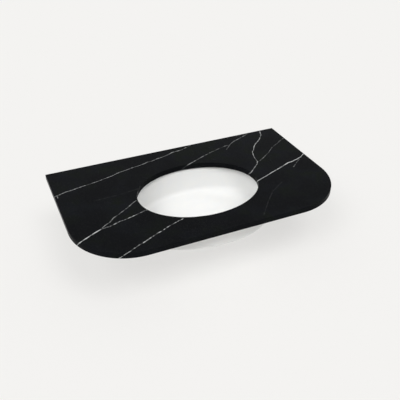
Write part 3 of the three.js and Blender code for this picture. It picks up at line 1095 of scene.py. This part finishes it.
@dataclass
class Basin:
    """The china basin: its bowl, its rim under the stone, its outside, and the overflow's slot and ridge.

    Heights count from the stone's underside and go up. The duct's and the ridge's points give how far in
    front of the outlet they lie, and slot_span how far behind the skirt's front the slot's cutter runs.
    """

    centre_y: float = -318.0
    rim: Ring = Ring(250.0, 181.0, -5.0)
    foot: Ring = Ring(238.0, 157.0, -84.0)
    outlet: Ring = Ring(32.5, 32.5, -114.0)
    skirt: Ring = Ring(268.0, 205.0, -2.0, 2.1)
    lip_round: float = 3.0
    foot_round: float = 14.0
    edge_out: float = 3.0
    edge_up: float = 0.4
    edge_down: float = 1.5
    seat_round: float = 0.8
    hole_round: float = 1.0
    flange_width: float = 18.0
    rim_top: float = -2.0
    rim_arris: float = 1.2
    flange_bottom: float = -14.0
    flange_fillet: float = 3.0
    flange_round: float = 4.0
    floor_thickness: float = 13.0
    wall_slack: float = 3.0
    outer_corner: float = -80.0
    outer_corner_share: float = 1 / 8
    skirt_levels: tuple[float, ...] = (-66.0, -54.0, -36.0)
    recess: float = -117.5
    boss_bottom: float = -140.5
    boss_radius: float = 38.0
    boss_round: float = 2.0
    neck_round: float = 4.0
    hole_radius: float = 23.0
    slot_level: float = -34.0
    slot_width: float = 38.0
    slot_height: float = 10.0
    slot_span: Point = (20.0, 60.0)
    duct_width: float = 52.0
    duct_line: tuple[Point, ...] = (
        (190, -25), (190, -77), (157, -101), (38, -133.5), (0, -133.5),
        (0, -124.5), (38, -124.5), (157, -91), (180, -67), (180, -25),
    )
    ridge_line: tuple[Point, ...] = ((157.0, -108.0), (197.5, -77.0))
    ridge_top: float = -76.0
    ridge_past_duct: float = 10.0
    ridge_slope: float = 16.0
    sides: int = 192

    def inside(self) -> list[Ring]:
        """Lays out the bowl, from its lip down to the outlet's lower end.

        Returns:
            The bowl's rings.
        """
        wall = self.rim.height - self.foot.height
        wall_end = self.rim.toward(self.foot, 1 - self.foot_round / wall)
        drain = self.foot.depth - self.outlet.depth
        floor_start = self.foot.toward(self.outlet, self.foot_round / drain)
        lip = self.rim.grown(0, self.rim_top)
        rings = rounded(lip.grown(self.lip_round), lip, self.rim, 5)
        rings += [self.rim.toward(wall_end, i / 5) for i in range(1, 5)]
        rings += rounded(wall_end, self.foot, floor_start, 8)
        rings += [floor_start.toward(self.outlet, i / 10) for i in range(1, 10)]
        edge = self.outlet
        edge_start = edge.grown(self.edge_out, edge.height + self.edge_up)
        rings += rounded(edge_start, edge, edge.grown(0, edge.height - self.edge_down), 4)
        rings += [edge.grown(0, self.recess + self.seat_round), edge.grown(-self.seat_round, self.recess)]
        hole = Ring(self.hole_radius, self.hole_radius, self.recess)
        rings += rounded(hole.grown(self.hole_round), hole, hole.grown(0, self.recess - self.hole_round), 2)
        rings.append(hole.grown(0, self.boss_bottom))
        return rings

    def outside(self) -> list[Ring]:
        """Lays out the outside, from the foot of its boss up to the rim's top face.

        Returns:
            The outside's rings.
        """
        boss = Ring(self.boss_radius, self.boss_radius, self.boss_bottom)
        under = [self.foot.toward(self.outlet, i / 12, self.floor_thickness) for i in range(12, 1, -1)]
        neck = boss.grown(0, under[0].height)
        boss_side = boss.grown(0, boss.height + self.boss_round)
        rings = rounded(boss.grown(-self.boss_round), boss, boss_side, 2)
        rings += rounded(neck.grown(0, neck.height - self.neck_round), neck, under[1], 4)
        rings += under[2:]
        corner_end = self.foot.toward(self.outlet, self.outer_corner_share, self.floor_thickness)
        straight = [self.skirt.grown(0, level) for level in self.skirt_levels]
        rings += rounded(corner_end, self.skirt.grown(0, self.outer_corner), straight[0], 9)
        rings += straight[1:]
        low = self.flange_bottom
        inner = self.skirt.grown(0, low)
        rings += rounded(inner.grown(0, low - self.flange_fillet), inner, inner.grown(self.flange_fillet), 3)
        outer = inner.grown(self.flange_width)
        rings += rounded(outer.grown(-self.flange_round), outer, outer.grown(0, low + self.flange_round), 4)
        top = outer.grown(0, self.rim_top)
        rings += rounded(top.grown(0, top.height - self.rim_arris), top, top.grown(-self.rim_arris), 2)
        return rings

    def build(self) -> None:
        """Builds and dresses the basin."""
        bm = bmesh.new()
        loft(bm, [*self.inside(), *self.outside()], self.sides)
        self.raise_ridge(bm)
        bmesh.ops.translate(bm, vec=(0, self.centre_y, 0), verts=bm.verts[:])
        basin = make_piece("china_basin", bm, CHINA, ["basin"])
        cut_away(basin, self.duct_cutter())
        cut_away(basin, self.slot_cutter())

    def raise_ridge(self, bm: Form) -> None:
        """Swells the outside under the front, where the overflow's duct runs to the outlet.

        Args:
            bm: the basin's form, about its own centre.
        """
        ridge = ((self.boss_radius, self.boss_bottom), *self.ridge_line)
        reach = self.duct_width / 2 + self.ridge_past_duct
        for vert in bm.verts:
            out, spare = -vert.co.y, reach - abs(vert.co.x)
            if out < self.boss_radius or spare < 0 or vert.co.z > self.ridge_top or self.is_inside(vert.co):
                continue
            ease = min(1.0, spare / self.ridge_slope)
            share = ease * ease * (3 - 2 * ease)
            for (near, low), (far, high) in pairwise(ridge):
                if near <= out <= far:
                    level = low + (high - low) * (out - near) / (far - near)
                    vert.co.z += min(0.0, level - vert.co.z) * share

    def is_inside(self, spot: Vector) -> bool:
        """Tells the bowl's inner face from the outside.

        Args:
            spot: a point of the basin, about its own centre.

        Returns:
            True for the inner face.
        """
        if -spot.y > self.foot.depth + self.wall_slack:
            return False
        share = (self.foot.depth + spot.y) / (self.foot.depth - self.outlet.depth)
        floor = self.foot.toward(self.outlet, max(0.0, share)).height
        return spot.z > floor - self.floor_thickness / 2

    def duct_cutter(self) -> Form:
        """The overflow's duct, from behind its slot down and forward to the outlet's hole.

        Returns:
            The closed form, in the part's own place.
        """
        half = self.slot_width / 2
        outline = [(-half, self.centre_y - out, z) for out, z in self.duct_line]
        return prism(outline, (self.slot_width, 0, 0))

    def slot_cutter(self) -> Form:
        """The overflow's slot as a closed form that runs through the front wall's inner half.

        Returns:
            The form, in the part's own place.
        """
        cutter = bmesh.new()
        radius = self.slot_height / 2
        for side in (-1, 1):
            end = bmesh.ops.create_circle(cutter, cap_ends=False, radius=radius, segments=24)
            aside = side * (self.slot_width / 2 - radius)
            bmesh.ops.translate(cutter, vec=(aside, 0, 0), verts=end["verts"])
        hull = bmesh.ops.convex_hull(cutter, input=cutter.verts[:])
        bmesh.ops.delete(cutter, geom=hull["geom_interior"] + hull["geom_unused"], context="VERTS")
        bmesh.ops.dissolve_limit(cutter, angle_limit=FLAT_ANGLE, verts=cutter.verts[:], edges=cutter.edges[:])
        start, stop = self.slot_span
        extrude(cutter, (0, 0, stop - start))
        upright = Matrix.Rotation(math.pi / 2, 3, "X")
        bmesh.ops.rotate(cutter, cent=(0, 0, 0), matrix=upright, verts=cutter.verts[:])
        behind = self.centre_y - self.skirt.depth + stop
        bmesh.ops.translate(cutter, vec=(0, behind, self.slot_level), verts=cutter.verts[:])
        return cutter


@dataclass
class RimBead:
    """The silicone between the stone and the basin's rim, hollowed by the tool on both faces."""

    basin: Basin = field(default_factory=Basin)
    setback: float = 4.0
    hollow: float = 0.7
    sides: int = 160

    def build(self) -> None:
        """Builds and dresses the bead."""
        rim, skirt, low = self.basin.rim, self.basin.skirt, self.basin.rim_top
        inward = self.basin.lip_round + self.setback
        inner = Ring(rim.length + inward, rim.depth + inward, 0, skirt.squareness)
        outer = skirt.grown(self.basin.flange_width).grown(-self.setback, 0)
        rings = rounded(inner, inner.grown(self.hollow * 2, low / 2), inner.grown(0, low), 5)
        rings += rounded(outer.grown(0, low), outer.grown(-self.hollow * 2, low / 2), outer, 5)
        bm = bmesh.new()
        loft(bm, rings, self.sides)
        bmesh.ops.translate(bm, vec=(0, self.basin.centre_y, 0), verts=bm.verts[:])
        make_piece("silicone_bead", bm, SILICONE, ["rim_sealant"])


# The waste and its plug


@dataclass(frozen=True)
class Turned:
    """One turned piece on the outlet's axis.

    Attributes:
        name: the piece's name.
        node: the CAD node that it stands for.
        finish: its surface.
        outline: its (radius, height) outline.
        body: what it rides on.
    """

    name: str
    node: str
    finish: Finish
    outline: Outline
    body: Body = Body.TOP


TURNED = (
    Turned(
        "outlet_gasket_ring",
        "outlet_gasket",
        RUBBER,
        Outline(((21.2, -146.5), (31, -146.5), (34, -140.5), (21.2, -140.5)), {1: 1.5, 2: 1.2}),
    ),
    Turned(
        "slip_washer",
        "friction_washer",
        NYLON,
        Outline(((21.2, -148.5), (31, -148.5), (31, -146.5), (21.2, -146.5)), {1: 0.5, 2: 0.5}, 2),
    ),
    Turned(
        "plug_latch",
        "plug_cartridge",
        NYLON,
        Outline(
            (
                (0, -166), (9, -166), (9, -136), (11, -136),
                (11, -134.5), (4.3, -134.5), (4.3, -164), (0, -164),
            ),
            {1: 1.5, 3: 0.3, 4: 0.3},
            3,
        ),
    ),
    Turned(
        "flange_seal_ring",
        "flange_seal",
        RUBBER,
        Outline(((24, -117.5), (30, -117.5), (30, -116.5), (24, -116.5)), {1: 0.3, 2: 0.3}, 2),
    ),
    Turned(
        "plug_cap_domed",
        "plug_cap",
        CHROME,
        Outline(
            (
                (0, -119.8), (4.3, -119.8), (4.3, -121.8), (7.5, -121.8), (7.5, -115.8),
                (19.2, -115.8), (19.2, -114.6), (9.6, -113.35), (0, -113.2),
            ),
            {3: 0.8, 5: 0.4, 6: 1.0, 7: 4.0},
            5,
        ),
        Body.PLUG,
    ),
    Turned(
        "plug_lip_seal",
        "plug_seal",
        RUBBER,
        Outline(((13.3, -117.3), (18.3, -117.3), (18.3, -115.8), (13.3, -115.8)), {1: 0.7, 2: 0.3}, 3),
        Body.PLUG,
    ),
    Turned(
        "plug_stem_turned",
        "plug_stem",
        BRASS,
        Outline(((0, -151.8), (4, -151.8), (4, -117.8), (0, -117.8)), {1: 0.8, 2: 0.5}, 2),
        Body.PLUG,
    ),
)


@dataclass
class Waste:
    """The waste: a slotted chromed body, its lock nut, and the turned pieces of its seals and its plug."""

    centre_y: float = -318.0
    top: float = -114.0
    end: float = -204.0
    flange_radius: float = 31.0
    flange_thickness: float = 2.5
    mouth: float = 21.2
    throat: float = 18.9
    throat_depth: float = 2.4
    tube_radius: float = 20.9
    bore: float = 17.5
    bore_depth: float = 7.0
    slot_width: float = 14.0
    slot_low: float = -133.5
    slot_high: float = -124.5
    slot_round: float = 2.0
    slot_overcut: float = 2.0
    hub: Outline = Outline(((9.3, -142), (11.7, -142), (11.7, -136), (9.3, -136)), {1: 0.6, 2: 0.6}, 2)
    hub_sides: int = 48
    spoke_size: Spot = (8.0, 3.0, 6.0)
    spoke_place: Spot = (14.9, 0.0, -139.0)
    spoke_arris: float = 0.5
    spokes: int = 3
    thread_low: float = -203.0
    thread_high: float = -137.5
    thread_pitch: float = 2.309
    thread_depth: float = 1.0
    thread_sides: int = 40
    tail_chamfer: float = 0.6
    nut_flats: float = 56.0
    nut_bore: float = 21.2
    nut_top: float = -148.5
    nut_bottom: float = -158.5
    nut_chamfer: float = 0.58
    nut_arris: float = 0.4
    nut_side_lines: int = 8
    nut_bore_sides: int = 48
    sides: int = 72

    def build(self) -> None:
        """Builds and dresses every piece of the waste."""
        self.build_body()
        self.build_nut()
        for piece in TURNED:
            bm = self.turned(piece.outline)
            make_piece(piece.name, bm, piece.finish, [piece.node], piece.body)

    def turned(self, outline: Outline) -> Form:
        """Turns a form on the outlet's axis.

        Args:
            outline: its (radius, height) outline.

        Returns:
            The form.
        """
        bm = bmesh.new()
        turn(bm, outline.eased(), self.sides)
        bmesh.ops.translate(bm, vec=(0, self.centre_y, 0), verts=bm.verts[:])
        return bm

    def body_outline(self) -> Outline:
        """Lays out the chromed body from its tail's end, up the outside and down the bore.

        Returns:
            Its (radius, height) outline.
        """
        root = self.tube_radius - self.thread_depth
        under = self.top - self.flange_thickness
        outline = [
            (self.bore, self.end),
            (root - self.tail_chamfer, self.end),
            (root, self.thread_low),
            (root, self.thread_high),
            (self.tube_radius, self.thread_high + self.thread_depth),
            (self.tube_radius, under),
            (self.flange_radius, under),
            (self.flange_radius, self.top),
            (self.mouth, self.top),
            (self.throat, self.top - self.throat_depth),
            (self.bore, self.top - self.bore_depth),
        ]
        return Outline(outline, {6: 0.5, 7: 1.4, 8: 1.0, 9: 0.8}, 5)

    def build_body(self) -> None:
        """Builds the chromed body with its overflow slots, latch carrier and threaded tail."""
        body = make_piece("waste_body_chromed", self.turned(self.body_outline()), CHROME, ["waste_body"])
        slots = bmesh.new()
        middle = (0, self.centre_y, (self.slot_low + self.slot_high) / 2)
        across = 2 * (self.tube_radius + self.slot_overcut)
        through = (self.slot_width, across, self.slot_high - self.slot_low)
        bmesh.ops.create_cube(slots, size=1, matrix=Matrix.LocRotScale(middle, None, through))
        long_edges = [e for e in slots.edges if abs(e.verts[0].co.y - e.verts[1].co.y) > 1]
        bevel(slots, long_edges, self.slot_round, 4)
        cut_away(body, slots)
        inner = bmesh.new()
        self.add_carrier(inner)
        ends = (self.thread_low, self.thread_high)
        crest, depth, pitch = self.tube_radius, self.thread_depth, self.thread_pitch
        screw_thread(inner, crest, depth, pitch, ends, self.thread_sides)
        bmesh.ops.translate(inner, vec=(0, self.centre_y, 0), verts=inner.verts[:])
        joined = bmesh.new()
        joined.from_mesh(body.data)
        join_into(joined, in_metres(inner))
        joined.to_mesh(body.data)
        joined.free()
        shade(body)

    def add_carrier(self, bm: Form) -> None:
        """Adds the hub and its spokes that carry the latch in the throat.

        Args:
            bm: the form that gets them, about the outlet's axis.
        """
        turn(bm, self.hub.eased(), self.hub_sides)
        for i in range(self.spokes):
            spoke = bmesh.new()
            placed = Matrix.LocRotScale(self.spoke_place, None, self.spoke_size)
            bmesh.ops.create_cube(spoke, size=1, matrix=placed)
            soften(spoke, self.spoke_arris)
            turned = Matrix.Rotation(FULL_TURN * i / self.spokes, 4, "Z")
            bmesh.ops.transform(spoke, matrix=turned, verts=spoke.verts[:])
            join_into(bm, spoke)

    def build_nut(self) -> None:
        """Builds the brass hexagon nut with its chamfered corners."""
        flat = self.nut_flats / 2
        bm = bmesh.new()
        corner = flat / math.cos(math.pi / 6)
        hexagon = bmesh.ops.create_circle(bm, cap_ends=False, radius=corner, segments=6)
        turned = Matrix.Rotation(math.pi / 6, 4, "Z")
        bmesh.ops.transform(bm, matrix=turned, verts=hexagon["verts"])
        bmesh.ops.subdivide_edges(bm, edges=bm.edges[:], cuts=self.nut_side_lines - 1)
        loop_of(bm, Ring(self.nut_bore, self.nut_bore, 0), self.nut_bore_sides)
        bmesh.ops.bridge_loops(bm, edges=bm.edges[:])
        height = self.nut_top - self.nut_bottom
        extrude(bm, (0, 0, height))
        for vert in bm.verts:
            past = math.hypot(vert.co.x, vert.co.y) - flat
            if past > 0:
                inward = self.nut_chamfer * past
                vert.co.z += inward if vert.co.z < height / 2 else -inward
        bmesh.ops.recalc_face_normals(bm, faces=bm.faces[:])
        soften(bm, self.nut_arris, 1)
        bmesh.ops.translate(bm, vec=(0, self.centre_y, self.nut_bottom), verts=bm.verts[:])
        make_piece("waste_lock_nut_brass", bm, BRASS, ["waste_lock_nut"])


# The clips


@dataclass(frozen=True)
class Station:
    """Where one clip meets the basin's rim, and the direction straight out from it."""

    x: float
    y: float
    angle: float
    stud_out: float = 12.0

    def matrix(self) -> Matrix:
        """From the clip's own axes, X outwards, to the part's."""
        return Matrix.Translation((self.x, self.y, 0)) @ Matrix.Rotation(self.angle, 4, "Z")

    def stud_matrix(self) -> Matrix:
        """From the stud's own axis to the part's."""
        return self.matrix() @ Matrix.Translation((self.stud_out, 0, 0))


@dataclass
class Clips:
    """The six clips: each a bent bracket on a stud, with a washer, a wing nut and an anchor in the stone."""

    basin: Basin = field(default_factory=Basin)
    angles: tuple[float, ...] = (-30, 20, 65, 115, 160, 210)
    hole_radius: float = 5.2
    hole_depth: float = 12.4
    bracket_line: Outline = Outline(
        ((-10, -14), (23.5, -14), (23.5, 0), (26, 0), (26, -16.5), (-10, -16.5)), {1: 2.0, 4: 4.5}, 6
    )
    bracket_width: float = 22.0
    bracket_arris: float = 0.35
    clearance: float = 3.4
    washer_radius: float = 8.0
    washer_top: float = -16.5
    nut_top: float = -18.1
    nut_bottom: float = -26.1
    nut_radii: Point = (5.0, 6.0)
    wing_line: Outline = Outline(
        (
            (4.6, -19.2), (4.6, -25.4), (7.2, -30.6), (11.0, -32.1),
            (14.2, -32.1), (15.0, -30.6), (14.0, -27.6), (9.6, -23.4),
        ),
        {1: 1.5, 2: 1.9, 3: 1.7, 4: 0.7, 5: 0.7, 6: 1.6, 7: 2.0},
        3,
    )
    wing_thickness: float = 2.2
    wing_arris: float = 0.5
    stud_low: float = -32.1
    stud_high: float = 11.0
    stud_radius: float = 3.0
    stud_root: float = 2.55
    stud_pitch: float = 1.0
    stud_tip: Point = (2.1, 0.5)
    stud_thread: Point = (-31.5, -0.5)
    stud_sides: int = 24
    stud_thread_sides: int = 20
    anchor_radii: Point = (3.4, 4.8)
    anchor_height: float = 12.0
    anchor_grooves: tuple[float, ...] = (2.5, 5.5, 8.5)
    groove_depth: float = 0.4
    groove_width: float = 1.6
    sides: int = 32

    def stations(self) -> list[Station]:
        """Where the clips stand round the rim.

        Returns:
            One station for each clip.
        """
        edge = self.basin.skirt.grown(self.basin.flange_width)
        made = []
        for degrees in self.angles:
            x, y = edge.point(math.radians(degrees))
            outward = math.atan2(y / edge.depth**2, x / edge.length**2)
            made.append(Station(x, y + self.basin.centre_y, outward))
        return made

    def build(self) -> None:
        """Builds and dresses the clips, one piece for each CAD node."""
        for number, station in enumerate(self.stations(), start=1):
            at_stud = station.stud_matrix()
            for kind, bm, matrix, finish in (
                ("clip_bracket", self.bracket(), station.matrix(), ZINC),
                ("clip_stud", self.stud(), at_stud, ZINC),
                ("clip_washer", self.washer(), at_stud, ZINC),
                ("clip_wing_nut", self.wing_nut(), at_stud, ZINC),
                ("clip_anchor", self.anchor(), at_stud, BRASS),
            ):
                bmesh.ops.transform(bm, matrix=matrix, verts=bm.verts[:])
                make_piece(f"{kind}_finished_{number}", bm, finish, [f"{kind}_{number}"])

    def anchor(self) -> Form:
        """A brass sleeve set in the stone's blind hole, with three grooves that key it into the resin.

        Returns:
            The sleeve on the stud's axis.
        """
        bm = bmesh.new()
        bore, skin = self.anchor_radii
        depth = self.groove_depth
        outline = [(bore, 0), (skin, 0)]
        for low in self.anchor_grooves:
            high = low + self.groove_width
            outline += [(skin, low), (skin - depth, low + depth), (skin - depth, high - depth), (skin, high)]
        outline += [(skin, self.anchor_height), (bore, self.anchor_height)]
        turn(bm, outline, self.sides)
        return bm

    def bracket(self) -> Form:
        """A strip bent down at its heel, with eased edges.

        Returns:
            The bracket, X outwards.
        """
        half = self.bracket_width / 2
        bm = prism([(x, -half, z) for x, z in self.bracket_line.eased()], (0, self.bracket_width, 0))
        soften(bm, self.bracket_arris)
        return bm

    def stud(self) -> Form:
        """A threaded stud with a chamfered lower end.

        Returns:
            The stud on its own axis.
        """
        bm = bmesh.new()
        low, high, root = self.stud_low, self.stud_high, self.stud_root
        tip, chamfer = self.stud_tip
        outline = [(0, low), (tip, low), (root, low + chamfer), (root, high), (0, high)]
        turn(bm, outline, self.stud_sides)
        crest, depth, pitch = self.stud_radius, self.stud_radius - root, self.stud_pitch
        screw_thread(bm, crest, depth, pitch, self.stud_thread, self.stud_thread_sides)
        return bm

    def washer(self) -> Form:
        """A flat washer with one rounded face.

        Returns:
            The washer on the stud's axis.
        """
        bm = bmesh.new()
        low, high, hole, edge = self.nut_top, self.washer_top, self.clearance, self.washer_radius
        outline = Outline([(hole, low), (edge, low), (edge, high), (hole, high)], {1: 0.6, 2: 0.3}, 2)
        turn(bm, outline.eased(), self.sides)
        return bm

    def wing_nut(self) -> Form:
        """A wing nut: a turned hub and two rounded wings.

        Returns:
            The nut on the stud's axis.
        """
        bm = bmesh.new()
        low, high, hole = self.nut_bottom, self.nut_top, self.clearance
        narrow, wide = self.nut_radii
        hub = Outline([(hole, low), (narrow, low), (wide, high), (hole, high)], {1: 0.8, 2: 0.5}, 3)
        turn(bm, hub.eased(), self.sides)
        half = self.wing_thickness / 2
        for side in (1, -1):
            outline = [(side * x, -half, z) for x, z in self.wing_line.eased()]
            wing = prism(outline, (0, self.wing_thickness, 0))
            soften(wing, self.wing_arris)
            join_into(bm, wing)
        return bm


# The studio


@dataclass(frozen=True)
class Lamp:
    """One broad, far lamp, which lights the paper evenly.

    Attributes:
        name: the lamp's name.
        azimuth: where it stands, in degrees from the front towards +X.
        elevation: how high it stands, in degrees.
        share: how much of the open floor's light it gives, where 1 shows the paper as it is.
        spread: how wide it looks, in degrees.
    """

    name: str
    azimuth: float
    elevation: float
    share: float
    spread: float = 30.0

    def build(self) -> None:
        """Puts the lamp into the scene."""
        turned, raised = math.radians(self.azimuth), math.radians(self.elevation)
        data = bpy.data.lights.new(self.name, "SUN")
        data.angle = math.radians(self.spread)
        data.energy = math.pi * self.share / math.sin(raised)
        lamp = bpy.data.objects.new(self.name, data)
        bpy.context.scene.collection.objects.link(lamp)
        away = Vector((math.sin(turned), -math.cos(turned), math.tan(raised)))
        lamp.rotation_mode = "QUATERNION"
        lamp.rotation_quaternion = (-away).to_track_quat("-Z", "Y")
        lamp.visible_glossy = False


@dataclass
class Studio:
    """The camera, the pale floor, the soft lamps and the world, in metres, with the lens in millimetres."""

    eye: Spot = (-0.644361, -1.766330, 1.028931)
    target: Spot = (-0.026799, -0.377270, 0.020)
    lens: float = 48.963
    sensor_width: float = 36.0
    clip: Point = (0.01, 100.0)
    floor_level: float = -0.205
    floor_reach: float = 40.0
    paper: str = "f4f3f1"
    fill_low: float = 0.12
    fill_high: float = 0.54
    clean_share: float = 0.7
    lamps: tuple[Lamp, ...] = (Lamp("left_lamp", -60, 48, 0.3), Lamp("right_lamp", 20, 62, 0.3))

    def camera(self) -> None:
        """Makes the camera at the photograph's place, with its lens."""
        data = bpy.data.cameras.new("camera")
        data.lens = self.lens
        data.sensor_width = self.sensor_width
        data.clip_start, data.clip_end = self.clip
        camera = bpy.data.objects.new("camera", data)
        bpy.context.scene.collection.objects.link(camera)
        camera.location = self.eye
        aim = Vector(self.target) - Vector(self.eye)
        camera.rotation_mode = "QUATERNION"
        camera.rotation_quaternion = aim.to_track_quat("-Z", "Y")
        bpy.context.scene.camera = camera
        bpy.context.scene.view_settings.view_transform = "Standard"

    def floor(self) -> None:
        """Makes the floor: white paper that keeps the object's shadow."""
        bm = bmesh.new()
        bmesh.ops.create_grid(bm, x_segments=1, y_segments=1, size=self.floor_reach)
        bmesh.ops.translate(bm, vec=(0, 0, self.floor_level), verts=bm.verts[:])
        floor = put("floor", bm)
        material = bpy.data.materials.new("studio_paper")
        material.use_nodes = True
        tree = material.node_tree
        tree.nodes.clear()
        matt = add_node(tree, "BsdfDiffuse", {"Color": linear(self.paper)}).outputs[0]
        clean = add_node(tree, "Emission", {"Color": linear(self.paper), "Strength": 1.0}).outputs[0]
        part = {"operation": "MULTIPLY", 1: self.clean_share}
        share = add_node(tree, "Math", part, {0: self.seen(tree)}).outputs[0]
        both = add_node(tree, "MixShader", links={0: share, 1: matt, 2: clean}).outputs[0]
        add_node(tree, "OutputMaterial", links={"Surface": both})
        floor.data.materials.append(material)

    def seen(self, tree: Tree) -> Socket:
        """Tells the rays that show a background from those that light the object.

        Args:
            tree: the node tree of the floor or the world.

        Returns:
            1 for what the eye sees straight, in a mirror or through glass, and 0 for the rest.
        """
        rays = add_node(tree, "LightPath").outputs
        eye_or_mirror = {0: rays["Is Camera Ray"], 1: rays["Is Glossy Ray"]}
        straight = add_node(tree, "Math", {"operation": "ADD"}, eye_or_mirror).outputs[0]
        or_glass = {0: straight, 1: rays["Is Transmission Ray"]}
        return add_node(tree, "Math", {"operation": "ADD", "use_clamp": True}, or_glass).outputs[0]

    def world(self) -> None:
        """Makes the backdrop, white paper to the eye and in mirrors, and the soft light from all round."""
        world = bpy.data.worlds.new("studio")
        world.use_nodes = True
        bpy.context.scene.world = world
        tree = world.node_tree
        tree.nodes.clear()
        paper = add_node(tree, "Background", {"Color": linear(self.paper), "Strength": 1.0}).outputs[0]
        where = add_node(tree, "TexCoord").outputs["Generated"]
        up = add_node(tree, "SeparateXYZ", links={0: where}).outputs["Z"]
        rising = {1: 0.0, 2: 1.0, 3: self.fill_low, 4: self.fill_high}
        soft = add_node(tree, "MapRange", rising, {0: up}).outputs[0]
        light = add_node(tree, "Background", {"Color": linear("ffffff")}, {"Strength": soft}).outputs[0]
        both = add_node(tree, "MixShader", links={0: self.seen(tree), 1: light, 2: paper}).outputs[0]
        add_node(tree, "OutputWorld", links={"Surface": both})

    def build(self) -> None:
        """Sets up the whole studio."""
        self.camera()
        self.floor()
        self.world()
        for lamp in self.lamps:
            lamp.build()


def main() -> None:
    """Builds the scene from the studio to the last clip."""
    logging.basicConfig(level=logging.INFO, format="%(message)s")
    Studio().build()
    clips = Clips()
    StoneTop().build(clips)
    Basin().build()
    RimBead().build()
    Waste().build()
    clips.build()
    bpy.context.view_layer.update()


if __name__ == "__main__":
    main()
